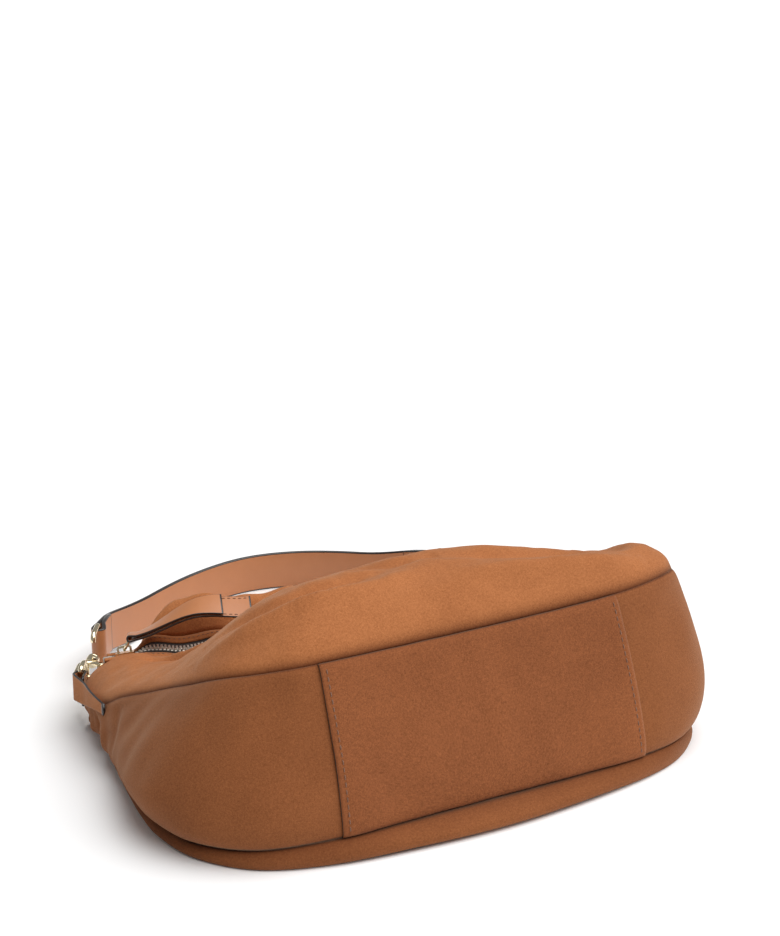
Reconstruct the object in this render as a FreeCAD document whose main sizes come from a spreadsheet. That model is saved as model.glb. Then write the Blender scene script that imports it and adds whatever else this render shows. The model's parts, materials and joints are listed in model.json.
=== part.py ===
import FreeCAD, Part

import math
import os

import Sketcher

# A hobo bag lying on its back panel. X runs across the bag, the base faces -Y, the mouth and
# the strap lie towards +Y, and the front panel faces +Z. The origin is on the floor plane, in
# the middle of the back panel's base edge. All sizes are in millimetres and degrees.

Vector = FreeCAD.Vector
Rotation = FreeCAD.Rotation
Placement = FreeCAD.Placement

SIZES = {
    # the bag's form
    "back_width": 394,
    "front_width": "=back_width - 56",
    "ear_spread_back": "=back_width - 42",
    "ear_spread_front": "=back_width - 48",
    "bag_length": 262,
    "base_straight": "=back_width - 144",
    "corner_length": 75,
    "base_lean": 16.86,
    "base_bulge": 8,
    "gusset_height": 118,
    "crown_rise": 32,
    "form_height": 150,
    "flat_length": "=bag_length - 87",
    "suede_wall": 2.0,
    "lining_wall": 0.8,
    # the base
    "patch_width": 230,
    "patch_wall": 1.6,
    "board_width": "=patch_width - 15",
    "board_depth": "=gusset_height - 34",
    "board_wall": 2.5,
    "board_gap": 0.4,
    # the zip
    "zip_radius": 360,
    "zip_tilt": 17.46,
    "mouth_depth": "=bag_length - 36",
    "mouth_height": "=gusset_height - 62",
    "lip_offset": 15,
    "zip_room": 2,
    "facing_inner": 7,
    "facing_wall": 1.2,
    "tape_width": 11,
    "tape_wall": 0.8,
    "teeth_gap": 1.2,
    "teeth_width": 2.4,
    "teeth_height": 3.4,
    "zip_half_span": 25.2,
    "tape_half_span": 27.6,
    "stop_span": 0.5,
    "slider_angle": 23.75,
    "slider_length": 13,
    "slider_width": 10.4,
    "slider_plate": 1.2,
    "slider_gap": 0.5,
    "slider_web": 0.6,
    "bail_height": 4.6,
    "bail_bar": 1.6,
    "bail_width": 2.4,
    "ring_radius": 4.8,
    "ring_wire": 1.1,
    "ring_lean": -35,
    "tab_length": 86,
    "tab_width": 20,
    "tab_leather": 1.7,
    "tab_droop": 2,
    "tab_step": 22,
    # the ears, the hooks and the strap
    "ear_spread": "=back_width - 46",
    "ear_length": "=bag_length + 5",
    "ear_height": 27,
    "left_turn": 33.5,
    "right_turn": 17,
    "ear_tab_width": 21,
    "ear_tab_stem": 12,
    "ear_leather": 1.8,
    "ring_bar": 25,
    "ring_depth": 20.5,
    "fitting_wire": 4.0,
    "fit_gap": 0.3,
    "hook_hole_width": 11,
    "hook_hole_start": 15.2,
    "hook_hole_end": 36,
    "hook_wall": 4.0,
    "hook_depth": 4.6,
    "gate_start": 18,
    "gate_pivot": 34,
    "gate_depth": 2.4,
    "gate_width": 3.2,
    "pin_radius": 0.9,
    "running_gap": 0.05,
    "barrel_radius": 4.6,
    "barrel_length": 5,
    "swivel_radius": 1.8,
    "eye_length": 24,
    "eye_opening": 31,
    "strap_width": 30,
    "strap_leather": 3.2,
    "strap_lap": 14,
}

doc = FreeCAD.newDocument("HoboBag")
sheet = doc.addObject("Spreadsheet::Sheet", "Sizes")


class Size:
    """A number together with the expression that works it out from the sheet."""

    def __init__(self, text, value):
        self.text = text
        self.value = value

    def joined(self, other, sign, value):
        text = other.text if isinstance(other, Size) else str(other)
        return Size("(%s %s %s)" % (self.text, sign, text), value)

    def __add__(self, other):
        return self.joined(other, "+", self.value + number(other))

    def __sub__(self, other):
        return self.joined(other, "-", self.value - number(other))

    def __mul__(self, other):
        return self.joined(other, "*", self.value * number(other))

    def __truediv__(self, other):
        return self.joined(other, "/", self.value / number(other))

    def __neg__(self):
        return Size("(0 - %s)" % self.text, -self.value)


def number(size):
    return size.value if isinstance(size, Size) else float(size)


for row, (alias, value) in enumerate(SIZES.items(), start=1):
    sheet.set("A%d" % row, alias)
    sheet.set("B%d" % row, str(value))
    sheet.setAlias("B%d" % row, alias)
doc.recompute()


def size(alias):
    return Size("Sizes.%s" % alias, float(sheet.get(alias)))


def read(alias):
    return size(alias).value


# ---------------------------------------------------------------- drawing helpers

PLANES = {"XY": "XY_Plane", "XZ": "XZ_Plane", "YZ": "YZ_Plane"}
subparts = []


def new_body(label, placement=Placement()):
    body = doc.addObject("PartDesign::Body", label)
    body.Label = label
    body.Placement = placement
    subparts.append(body)
    return body


def new_sketch(body, plane):
    sketch = body.newObject("Sketcher::SketchObject", body.Name + "_sketch")
    origin = [o for o in body.Origin.OriginFeatures if o.Role == PLANES[plane]][0]
    sketch.AttachmentSupport = [(origin, "")]
    sketch.MapMode = "FlatFace"
    return sketch


def bind(sketch, kind, *refs):
    """Add a dimension whose last reference is a Size, and tie it to the sheet."""
    dimension = refs[-1]
    value = number(dimension)
    if kind == "Radius":
        index = sketch.addConstraint(Sketcher.Constraint(kind, refs[0], value))
    else:
        index = sketch.addConstraint(Sketcher.Constraint(kind, *refs[:-1], value))
    if isinstance(dimension, Size):
        sketch.setExpression("Constraints[%d]" % index, dimension.text)


def outline(sketch, corners):
    """Draw a closed outline of straight edges through corners, each tied to the sheet."""
    first = sketch.GeometryCount
    flat = [Vector(number(x), number(y), 0) for x, y in corners]
    for start, end in zip(flat, flat[1:] + flat[:1]):
        sketch.addGeometry(Part.LineSegment(start, end), False)
    count = len(corners)
    for index, (x, y) in enumerate(corners):
        line = first + index
        following = first + (index + 1) % count
        sketch.addConstraint(Sketcher.Constraint("Coincident", line, 2, following, 1))
        bind(sketch, "DistanceX", -1, 1, line, 1, x)
        bind(sketch, "DistanceY", -1, 1, line, 1, y)


def rectangle(sketch, x0, x1, y0, y1):
    outline(sketch, [(x0, y0), (x1, y0), (x1, y1), (x0, y1)])


def circle(sketch, x, y, radius):
    middle = Vector(number(x), number(y), 0)
    index = sketch.addGeometry(Part.Circle(middle, Vector(0, 0, 1), number(radius)), False)
    bind(sketch, "DistanceX", -1, 1, index, 3, x)
    bind(sketch, "DistanceY", -1, 1, index, 3, y)
    bind(sketch, "Radius", index, radius)


def pad(body, sketch, length):
    """Raise a sketch by half of the length on each side of its plane."""
    feature = body.newObject("PartDesign::Pad", body.Name + "_pad")
    feature.Profile = sketch
    feature.setExpression("Length", length.text)
    feature.Midplane = True
    return feature


def pocket(body, sketch, length):
    """Cut a sketch out, half of the length on each side of its plane."""
    feature = body.newObject("PartDesign::Pocket", body.Name + "_pocket")
    feature.Profile = sketch
    feature.setExpression("Length", length.text)
    feature.Midplane = True
    return feature


def shape_part(label, shape, placement=Placement()):
    feature = doc.addObject("Part::Feature", label)
    feature.Label = label
    feature.Shape = shape
    feature.Placement = placement
    subparts.append(feature)
    return feature


# ---------------------------------------------------------------- the bag's soft form

# Heights over the floor along the bag: distance from the base edge, then the height at the
# side wall, at the shoulder and in the middle. The front panel's are shares of its two driving
# heights: the gusset's height carries the sides, and the crown rises above it.
SIDE_REACH = 190.0
SHOULDER_REACH = 150.0
FRONT_ROWS = [
    (-0.12, 0.92, 0.90, 0.90),
    (0.03, 0.92, 0.95, 0.95),
    (0.13, 0.92, 1.00, 1.01),
    (0.23, 0.85, 1.03, 1.21),
    (0.34, 0.71, 0.95, 1.27),
    (0.48, 0.59, 0.83, 1.16),
    (0.61, 0.46, 0.69, 0.96),
    (0.725, 0.36, 0.58, 0.71),
]
BACK_ROWS = [
    (0.00, 0.00, 0.00, 0.00),
    (0.23, 0.02, 0.07, 0.10),
    (0.46, 0.05, 0.24, 0.32),
    (0.69, 0.10, 0.46, 0.64),
    (0.88, 0.14, 0.62, 0.88),
]


# The rows are drawn for a back this wide and a crown this high, and are stretched from there.
DRAWN_WIDTH = 394.0
DRAWN_RISE = 32.0


def zip_plane_height(y):
    """Height of the zip's plane over the floor at a distance from the base edge."""
    return read("mouth_height") - (y - read("mouth_depth")) * math.tan(math.radians(read("zip_tilt")))


def crosswise(x, side, shoulder, middle):
    """An even curve through the heights at the side, the shoulder and the middle."""
    near, far = SHOULDER_REACH ** 2, SIDE_REACH ** 2
    low, high = shoulder - middle, side - middle
    fourth = (high / far - low / near) / (far - near)
    second = low / near - fourth * near
    return middle + second * x ** 2 + fourth * x ** 4


def draped_face(rows):
    """A smooth face through rows of heights; each row is y, side, shoulder, middle."""
    stretch = read("back_width") / DRAWN_WIDTH
    columns = [SIDE_REACH * share for share in (-1.1, -0.8, -0.53, -0.27, 0, 0.27, 0.53, 0.8, 1.1)]
    points = [[Vector(x * stretch, y, crosswise(x, *heights)) for x in columns]
              for y, *heights in rows]
    surface = Part.BSplineSurface()
    surface.interpolate(points)
    return surface.toShape()


def front_face():
    length = read("bag_length")
    gusset = read("gusset_height")
    swell = read("crown_rise") / DRAWN_RISE
    rows = []
    for share, side, shoulder, middle in FRONT_ROWS:
        crown = shoulder + (middle - shoulder) * swell
        rows.append((share * length, side * gusset, shoulder * gusset, crown * gusset))
    lip = read("mouth_depth") - read("lip_offset")
    for y, side in ((lip + 4, 0.29), (lip + 29, 0.26), (lip + 64, 0.22)):
        flat = zip_plane_height(y)
        rows.append((y, side * gusset, flat, flat))
    return draped_face(rows)


def back_face():
    start = read("flat_length")
    reach = read("mouth_depth") + read("lip_offset") - start
    drop = read("suede_wall") + read("lining_wall") + read("zip_room")
    height = zip_plane_height(read("mouth_depth") + read("lip_offset")) - drop
    rows = [(start + share * reach, side * height, shoulder * height, middle * height)
            for share, side, shoulder, middle in BACK_ROWS]
    for past, side in ((7, 0.19), (21, 0.22), (36, 0.24)):
        flat = zip_plane_height(start + reach + past) - drop
        rows.append((start + reach + past, side * height, 0.62 * flat, flat))
    return draped_face(rows)


def base_slope():
    """How far the base wall leans towards the mouth for each millimetre of height."""
    return math.tan(math.radians(read("base_lean"))) + read("base_bulge") / read("gusset_height")


def form_outline(height, inset, reach):
    """The bag's closed plan outline at a height, drawn in from its walls by inset."""
    share = height / read("gusset_height")
    lean = height * base_slope() - read("base_bulge")
    narrowing = (read("back_width") - read("front_width")) / 2 * share
    wide = read("back_width") / 2 - narrowing - inset
    straight = read("base_straight") / 2 - narrowing * 0.35
    ear_in = (read("ear_spread_back") - read("ear_spread_front")) / 2 * share
    ear = read("ear_spread_back") / 2 - ear_in - inset
    base = lean + inset
    corner = lean + read("base_bulge") + read("corner_length")
    elbow_x = straight + (wide - straight) * 0.74
    elbow_y = base + (corner - base) * 0.30
    slope = (ear - wide) / (read("bag_length") - corner)
    ear += slope * reach
    top = read("bag_length") + reach
    edges = []
    right = [Vector(straight, base, height), Vector(elbow_x, elbow_y, height), Vector(wide, corner, height)]
    left = [Vector(-p.x, p.y, p.z) for p in right]
    edges.append(Part.LineSegment(left[0], right[0]).toShape())
    edges.append(Part.Arc(*right).toShape())
    edges.append(Part.LineSegment(right[2], Vector(ear, top, height)).toShape())
    edges.append(Part.LineSegment(Vector(ear, top, height), Vector(-ear, top, height)).toShape())
    edges.append(Part.LineSegment(Vector(-ear, top, height), left[2]).toShape())
    edges.append(Part.Arc(left[2], left[1], left[0]).toShape())
    return Part.Wire(edges)


def bag_form(inset, reach=0.0):
    """The solid inside the bag's walls, from the floor to above the front panel."""
    low, high = -6.0, read("form_height") + read("crown_rise")
    wires = [form_outline(height, inset, reach) for height in (low, high)]
    return Part.makeLoft(wires, True, True)


def zip_placement(turn=0.0):
    """The frame of the zip: its origin is the arc's centre and its Z axis stands on the tape."""
    tilt = Rotation(Vector(1, 0, 0), -read("zip_tilt"))
    middle = Vector(0, read("mouth_depth"), read("mouth_height"))
    centre = middle + tilt.multVec(Vector(0, read("zip_radius"), 0))
    return Placement(centre, tilt.multiply(Rotation(Vector(0, 0, 1), turn)))


def mouth_cut(radius):
    """A cylinder about the zip's centre that trims a panel along its lip."""
    cylinder = Part.makeCylinder(radius, 800, Vector(0, 0, -400))
    cylinder.Placement = zip_placement()
    return cylinder


FRONT_FACE = front_face()
BACK_FACE = back_face()
DEEP = 400.0


def layer(depth, wall):
    """The front sheet, back sheet and wall strip of one layer, depth under the outer surface."""
    outer = bag_form(depth)
    inner = bag_form(depth + wall, 60)
    front_radius = read("zip_radius") + read("lip_offset")
    back_radius = read("zip_radius") - read("lip_offset")
    front = FRONT_FACE.translated(Vector(0, 0, -depth)).extrude(Vector(0, 0, -wall))
    front = front.common(outer).cut(mouth_cut(front_radius))
    flap = BACK_FACE.translated(Vector(0, 0, depth)).extrude(Vector(0, 0, wall))
    wide = read("back_width")
    plate = Part.makeBox(2 * wide, read("flat_length") + 50, wall, Vector(-wide, -50, depth))
    back = plate.fuse(flap).removeSplitter().common(outer).cut(mouth_cut(back_radius))
    under = FRONT_FACE.translated(Vector(0, 0, -depth - wall)).extrude(Vector(0, 0, -DEEP))
    below = BACK_FACE.translated(Vector(0, 0, depth + wall)).extrude(Vector(0, 0, -DEEP))
    below = below.fuse(Part.makeBox(2 * wide, read("flat_length") + 50, DEEP,
                                    Vector(-wide, -50, depth + wall - DEEP)))
    strip = outer.cut(inner).common(under).cut(below)
    return solid(front), solid(back), solid(strip)


def solid(shape):
    """The largest solid of a shape."""
    return max(shape.Solids, key=lambda s: s.Volume)


def end_placement(side):
    """The frame of an ear's fittings: Z runs along the ring's bar, Y out towards the strap."""
    turn = -read("left_turn") if side < 0 else read("right_turn")
    base = Vector(side * read("ear_spread") / 2, read("ear_length"), read("ear_height"))
    return Placement(base, Rotation(Vector(0, 0, 1), turn))


SIDES = (("left", -1), ("right", 1))

# ---------------------------------------------------------------- ear tabs


def ear_tab(label, side):
    """A leather loop round the ring's bar, with a stem that is sewn into the ear."""
    body = new_body(label, end_placement(side))
    hole = size("fitting_wire") / 2 + size("fit_gap")
    outer = hole + size("ear_leather")
    sketch = new_sketch(body, "XY")
    circle(sketch, Size("0", 0), Size("0", 0), outer)
    pad(body, sketch, size("ear_tab_width"))
    stem = new_sketch(body, "XY")
    half = size("ear_leather") + size("fit_gap")
    rectangle(stem, -half, half, -size("ear_tab_stem"), -hole)
    pad(body, stem, size("ear_tab_width"))
    bore = new_sketch(body, "XY")
    circle(bore, Size("0", 0), Size("0", 0), hole)
    body.Tip = pocket(body, bore, size("ear_tab_width") * 2)
    return body


ear_tabs = [ear_tab("ear_tab_" + name, side) for name, side in SIDES]
doc.recompute()

# ---------------------------------------------------------------- panels, gusset and lining

suede = read("suede_wall")
front, back, strip = layer(0.0, suede)
for tab in ear_tabs:
    strip = solid(strip.cut(tab.Shape))
    back = solid(back.cut(tab.Shape))
    front = solid(front.cut(tab.Shape))
shape_part("front_panel", front)
shape_part("back_panel", back)
shape_part("gusset", strip)

front_lining, back_lining, strip_lining = layer(suede, read("lining_wall"))
for tab in ear_tabs:
    strip_lining = solid(strip_lining.cut(tab.Shape))
    back_lining = solid(back_lining.cut(tab.Shape))
    front_lining = solid(front_lining.cut(tab.Shape))
shape_part("lining_front", front_lining)
shape_part("lining_back", back_lining)
shape_part("lining_gusset", strip_lining)

patch_half = read("patch_width") / 2
patch_zone = Part.makeBox(2 * patch_half, 160, DEEP, Vector(-patch_half, -60, suede))
under_front = FRONT_FACE.translated(Vector(0, 0, -suede)).extrude(Vector(0, 0, -DEEP))
patch = bag_form(-read("patch_wall")).cut(bag_form(0.0)).common(patch_zone)
patch = solid(patch.common(under_front))
shape_part("base_patch", patch)

board_room = suede + read("lining_wall") + read("board_gap")
board = doc.addObject("Part::Box", "base_board")
board.Label = "base_board"
board.setExpression("Length", "Sizes.board_width")
board.setExpression("Width", "Sizes.board_wall")
board.setExpression("Height", "Sizes.board_depth")
wall_lean = math.atan(base_slope())
board_foot = board_room + read("board_wall") * math.sin(wall_lean) + read("board_gap")
board_out = board_foot * base_slope() - read("base_bulge") + board_room / math.cos(wall_lean)
board.Placement = Placement(Vector(-read("board_width") / 2, board_out, board_foot),
                            Rotation(Vector(1, 0, 0), -math.degrees(wall_lean)))
subparts.append(board)

# ---------------------------------------------------------------- the zip


def zip_strip(label, near, far, low, high, half_span, turn=0.0):
    """A curved strip of the zip: from near to far along the radius and from low to high over it."""
    body = new_body(label, zip_placement(turn))
    sketch = new_sketch(body, "YZ")
    rectangle(sketch, -far, -near, low, high)
    turned = body.newObject("PartDesign::Revolution", label + "_turn")
    turned.Profile = sketch
    turned.ReferenceAxis = (sketch, ["V_Axis"])
    turned.Midplane = True
    turned.setExpression("Angle", (half_span * 2).text)
    return body


radius = size("zip_radius")
half_gap = size("teeth_gap") / 2
teeth_end = half_gap + size("teeth_width")
tape_end = teeth_end + size("tape_width")
half_tape = size("tape_wall") / 2
half_teeth = size("teeth_height") / 2
facing_top = half_tape + size("facing_wall")
chain = size("zip_half_span")
whole = size("tape_half_span")
zip_strip("zip_teeth_front", radius + half_gap, radius + teeth_end, -half_teeth, half_teeth, chain)
zip_strip("zip_teeth_back", radius - teeth_end, radius - half_gap, -half_teeth, half_teeth, chain)
zip_strip("zip_tape_front", radius + teeth_end, radius + tape_end, -half_tape, half_tape, whole)
zip_strip("zip_tape_back", radius - tape_end, radius - teeth_end, -half_tape, half_tape, whole)
zip_strip("zip_facing_front", radius + size("facing_inner"), radius + size("lip_offset"),
          half_tape, facing_top, whole)
zip_strip("zip_facing_back", radius - size("lip_offset"), radius - size("facing_inner"),
          half_tape, facing_top, whole)
stop_turn = read("zip_half_span") + read("stop_span")
for label, side in (("zip_top_stop", -1), ("zip_bottom_stop", 1)):
    zip_strip(label, radius - teeth_end, radius + teeth_end, -half_teeth, half_teeth,
              size("stop_span"), side * stop_turn)


def slider_placement(shift=Vector()):
    """The frame on the zip's arc where the slider stands; X runs along the zip."""
    turned = zip_placement(-read("slider_angle"))
    return turned.multiply(Placement(Vector(0, -read("zip_radius"), 0) + shift, Rotation()))


def zip_slider():
    """Two plates with edge flanges, joined by a thin web between the teeth, under a bail."""
    body = new_body("zip_slider", slider_placement())
    half_long = size("slider_length") / 2
    half_wide = size("slider_width") / 2
    inside = half_teeth + size("slider_gap")
    outside = inside + size("slider_plate")
    lip = half_tape + size("slider_gap")
    flange = teeth_end + size("slider_gap")
    for side in (-1, 1):
        plate = new_sketch(body, "YZ")
        low, high = (inside, outside) if side > 0 else (-outside, -inside)
        rectangle(plate, -half_wide, half_wide, low, high)
        pad(body, plate, size("slider_length"))
        for edge in (-1, 1):
            rim = new_sketch(body, "YZ")
            near, far = (flange, half_wide) if edge > 0 else (-half_wide, -flange)
            low, high = (lip, inside) if side > 0 else (-inside, -lip)
            rectangle(rim, near, far, low, high)
            pad(body, rim, size("slider_length"))
        if side < 0:
            web = new_sketch(body, "XZ")
            rectangle(web, -half_long * 0.1, half_long * 0.7, -inside, inside)
            pad(body, web, size("slider_web"))
    bail = new_sketch(body, "XZ")
    reach = half_long * 0.8
    top = outside + size("bail_height")
    bar = size("bail_bar")
    outline(bail, [(-reach, outside), (-reach, top - bar), (-reach + bar, top), (reach - bar, top),
                   (reach, top - bar), (reach, outside), (reach - bar, outside),
                   (reach - bar, top - bar), (-reach + bar, top - bar), (-reach + bar, outside)])
    body.Tip = pad(body, bail, size("bail_width"))
    return outside + size("bail_height") - size("bail_bar") - size("ring_wire") - size("fit_gap")


pivot_rise = zip_slider()


def zip_ring():
    """A round wire ring through the slider's bail, standing nearly upright."""
    body = new_body("zip_pull_ring")
    pivot = Vector(0, 0, pivot_rise.value)
    lean = Rotation(Vector(0, 1, 0), -read("ring_lean"))
    body.Placement = slider_placement().multiply(Placement(pivot, lean))
    sketch = new_sketch(body, "XZ")
    circle(sketch, Size("0", 0), Size("0", 0), size("ring_wire"))
    hoop = body.newObject("PartDesign::Revolution", "zip_pull_ring_turn")
    hoop.Profile = sketch
    axis = body.newObject("PartDesign::Line", "zip_pull_ring_axis")
    axis.MapMode = "Deactivated"
    axis.Placement = Placement(Vector(0, 0, read("ring_radius")), Rotation(Vector(0, 1, 0), 90))
    hoop.ReferenceAxis = (axis, [""])
    hoop.Angle = 360
    body.Tip = hoop
    return body


ring = zip_ring()


def zip_tab():
    """Two layers of leather folded round the far side of the ring and lying along the zip."""
    lean = Rotation(Vector(0, 1, 0), -read("ring_lean"))
    far = Vector(0, 0, pivot_rise.value) + lean.multVec(Vector(0, 0, 2 * read("ring_radius")))
    droop = Rotation(Vector(0, 1, 0), read("tab_droop"))
    body = new_body("zip_pull_tab", slider_placement().multiply(Placement(far, droop)))
    hole = size("ring_wire") + size("fit_gap")
    outer = hole + size("tab_leather")
    fold = new_sketch(body, "XZ")
    circle(fold, Size("0", 0), Size("0", 0), outer)
    pad(body, fold, size("tab_width"))
    lower = new_sketch(body, "XZ")
    rectangle(lower, hole, size("tab_length"), -size("tab_leather"), Size("0", 0))
    pad(body, lower, size("tab_width"))
    upper = new_sketch(body, "XZ")
    rectangle(upper, hole, size("tab_length") - size("tab_step"), Size("0", 0), size("tab_leather"))
    pad(body, upper, size("tab_width"))
    bore = new_sketch(body, "XZ")
    circle(bore, Size("0", 0), Size("0", 0), hole)
    pocket(body, bore, size("tab_width") * 2)
    slot = new_sketch(body, "YZ")
    room = size("ring_radius") + size("ring_wire") + size("fit_gap") * 2
    tongue = size("ring_wire") + size("fit_gap")
    rectangle(slot, -room, -tongue, -outer * 2, outer * 2)
    rectangle(slot, tongue, room, -outer * 2, outer * 2)
    notch = body.newObject("PartDesign::Pocket", "zip_pull_tab_notch")
    notch.Profile = slot
    notch.Midplane = True
    notch.setExpression("Length", (outer * 2.1).text)
    body.Tip = notch
    return body


zip_tab()

# ---------------------------------------------------------------- rings, hooks and eyes


def d_ring(label, side):
    """A D-shaped ring: a straight bar at the ear and a round bow towards the hook."""
    placement = end_placement(side)
    wire = read("fitting_wire") / 2
    half = read("ring_bar") / 2
    straight = read("ring_depth") - half
    bow = Part.makeTorus(half, wire, Vector(straight, 0, 0), Vector(0, 0, 1), 0, 360, 180)
    bow.rotate(Vector(straight, 0, 0), Vector(0, 0, 1), -90)
    bar = Part.makeCylinder(wire, 2 * half, Vector(0, -half, 0), Vector(0, 1, 0))
    pieces = [bow, bar]
    for end in (-half, half):
        pieces.append(Part.makeSphere(wire, Vector(0, end, 0)))
        pieces.append(Part.makeCylinder(wire, straight, Vector(0, end, 0), Vector(1, 0, 0)))
    shape = pieces[0].multiFuse(pieces[1:])
    upright = Placement(Vector(), Rotation(Vector(0, 1, 0), Vector(0, 0, 1), Vector(1, 0, 0), "ZXY"))
    return shape_part(label, shape.removeSplitter(), placement.multiply(upright))


def hook_body(label, side):
    """A flat hook with a side opening for its gate, and a barrel that turns on the eye."""
    body = new_body(label, end_placement(side))
    hole = size("hook_hole_width") / 2
    outer = hole + size("hook_wall")
    start = size("hook_hole_start")
    end = size("hook_hole_end")
    sketch = new_sketch(body, "XY")
    low = start - size("hook_wall")
    high = end + size("hook_wall")
    bevel = size("hook_wall")
    outline(sketch, [(-outer, low + bevel), (-outer + bevel, low), (outer - bevel, low),
                     (outer, low + bevel), (outer, high - bevel), (outer - bevel, high),
                     (-outer + bevel, high), (-outer, high - bevel)])
    pad(body, sketch, size("hook_depth"))
    opening = new_sketch(body, "XY")
    rectangle(opening, -hole, hole, start, end)
    pocket(body, opening, size("hook_depth") * 2)
    doc.recompute()
    gap = new_sketch(body, "XY")
    mouth = size("gate_pivot") - size("gate_width")
    rectangle(gap, hole - 1, outer + 1, size("gate_start") - size("fit_gap"), mouth)
    pocket(body, gap, size("hook_depth") * 2)
    cheek = new_sketch(body, "XY")
    rectangle(cheek, hole - 1, outer + 1, mouth - 1, size("gate_pivot") + size("gate_width"))
    pocket(body, cheek, size("gate_depth") + size("fit_gap") * 2)
    pin = new_sketch(body, "XY")
    circle(pin, hole + size("hook_wall") / 2, size("gate_pivot"), size("pin_radius"))
    pocket(body, pin, size("hook_depth") * 2)
    barrel = new_sketch(body, "XZ")
    circle(barrel, Size("0", 0), Size("0", 0), size("barrel_radius"))
    rise = body.newObject("PartDesign::Pad", label + "_barrel")
    rise.Profile = barrel
    barrel.AttachmentOffset = Placement(Vector(0, 0, -(high.value - 1)), Rotation())
    barrel.setExpression("AttachmentOffset.Base.z", (-(high - 1)).text)
    rise.Reversed = True
    rise.setExpression("Length", (size("barrel_length") + 1).text)
    bore = new_sketch(body, "XZ")
    circle(bore, Size("0", 0), Size("0", 0), size("swivel_radius") + size("running_gap"))
    hollow = body.newObject("PartDesign::Pocket", label + "_bore")
    hollow.Profile = bore
    bore.AttachmentOffset = Placement(Vector(0, 0, -(end.value - 1)), Rotation())
    bore.setExpression("AttachmentOffset.Base.z", (-(end - 1)).text)
    hollow.Reversed = False
    hollow.setExpression("Length", (size("barrel_length") + size("hook_wall") + 3).text)
    body.Tip = hollow
    return body


def hook_gate(label, side):
    """The sprung gate: a bar beside the hook's opening that turns on its pin."""
    body = new_body(label, end_placement(side))
    middle = size("hook_hole_width") / 2 + size("hook_wall") / 2
    half = size("gate_width") / 2
    pivot = size("gate_pivot")
    sketch = new_sketch(body, "XY")
    rectangle(sketch, middle - half, middle + half, size("gate_start"), pivot)
    pad(body, sketch, size("gate_depth"))
    knuckle = new_sketch(body, "XY")
    circle(knuckle, middle, pivot, half)
    pad(body, knuckle, size("gate_depth"))
    thumb = new_sketch(body, "XY")
    rectangle(thumb, middle + half * 0.8, middle + half + 2.2, pivot - 9, pivot - 6)
    pad(body, thumb, size("gate_depth"))
    bore = new_sketch(body, "XY")
    circle(bore, middle, pivot, size("pin_radius") + size("running_gap"))
    body.Tip = pocket(body, bore, size("hook_depth") * 2)
    return body


def gate_pin(label, side):
    """The pin that the gate turns on, held in the hook's cheeks."""
    pin = doc.addObject("Part::Cylinder", label)
    pin.Label = label
    pin.setExpression("Radius", "Sizes.pin_radius")
    pin.setExpression("Height", "Sizes.hook_depth")
    across = read("hook_hole_width") / 2 + read("hook_wall") / 2
    foot = Vector(across, read("gate_pivot"), -read("hook_depth") / 2)
    pin.Placement = end_placement(side).multiply(Placement(foot, Rotation()))
    subparts.append(pin)
    return pin


def hook_eye(label, side):
    """The eye that carries the strap: an upright frame on a stem that turns in the barrel."""
    body = new_body(label, end_placement(side))
    start = size("hook_hole_end") + size("hook_wall") + size("barrel_length") + size("fit_gap")
    wall = size("fitting_wire")
    far = start + size("eye_length") + wall / 2
    half = size("eye_opening") / 2
    tall = half + wall
    bevel = wall * 0.7
    frame = new_sketch(body, "YZ")
    outline(frame, [(start + bevel, -tall), (far - bevel, -tall), (far, -tall + bevel),
                    (far, tall - bevel), (far - bevel, tall), (start + bevel, tall),
                    (start, tall - bevel), (start, -tall + bevel)])
    pad(body, frame, wall)
    opening = new_sketch(body, "YZ")
    rectangle(opening, start + wall, far - wall, -half, half)
    pocket(body, opening, wall * 2)
    stem = new_sketch(body, "XZ")
    circle(stem, Size("0", 0), Size("0", 0), size("swivel_radius"))
    shaft = body.newObject("PartDesign::Pad", label + "_stem")
    shaft.Profile = stem
    stem.AttachmentOffset = Placement(Vector(0, 0, -(start.value + 1)), Rotation())
    stem.setExpression("AttachmentOffset.Base.z", (-(start + 1)).text)
    shaft.Reversed = False
    shaft.setExpression("Length", (size("barrel_length") + size("hook_wall") + 1).text)
    body.Tip = shaft
    return body


for name, side in SIDES:
    d_ring("d_ring_" + name, side)
    hook_body("hook_body_" + name, side)
    hook_gate("hook_gate_" + name, side)
    gate_pin("hook_gate_pin_" + name, side)
    hook_eye("hook_eye_" + name, side)
doc.recompute()

# ---------------------------------------------------------------- the strap

# Where the strap's middle line passes on the floor, from its left end to its right end.
STRAP_ROUTE = [(-109, 361), (-65, 391), (-17, 415), (30, 426), (72, 418), (111, 395), (143, 364)]
STRAP_SAG_NEAR = 330.0
STRAP_SAG_FAR = 392.0
# The route is drawn for ears this far apart and this far from the base, and moves with them.
DRAWN_SPREAD = 348.0
DRAWN_LENGTH = 267.0


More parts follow.
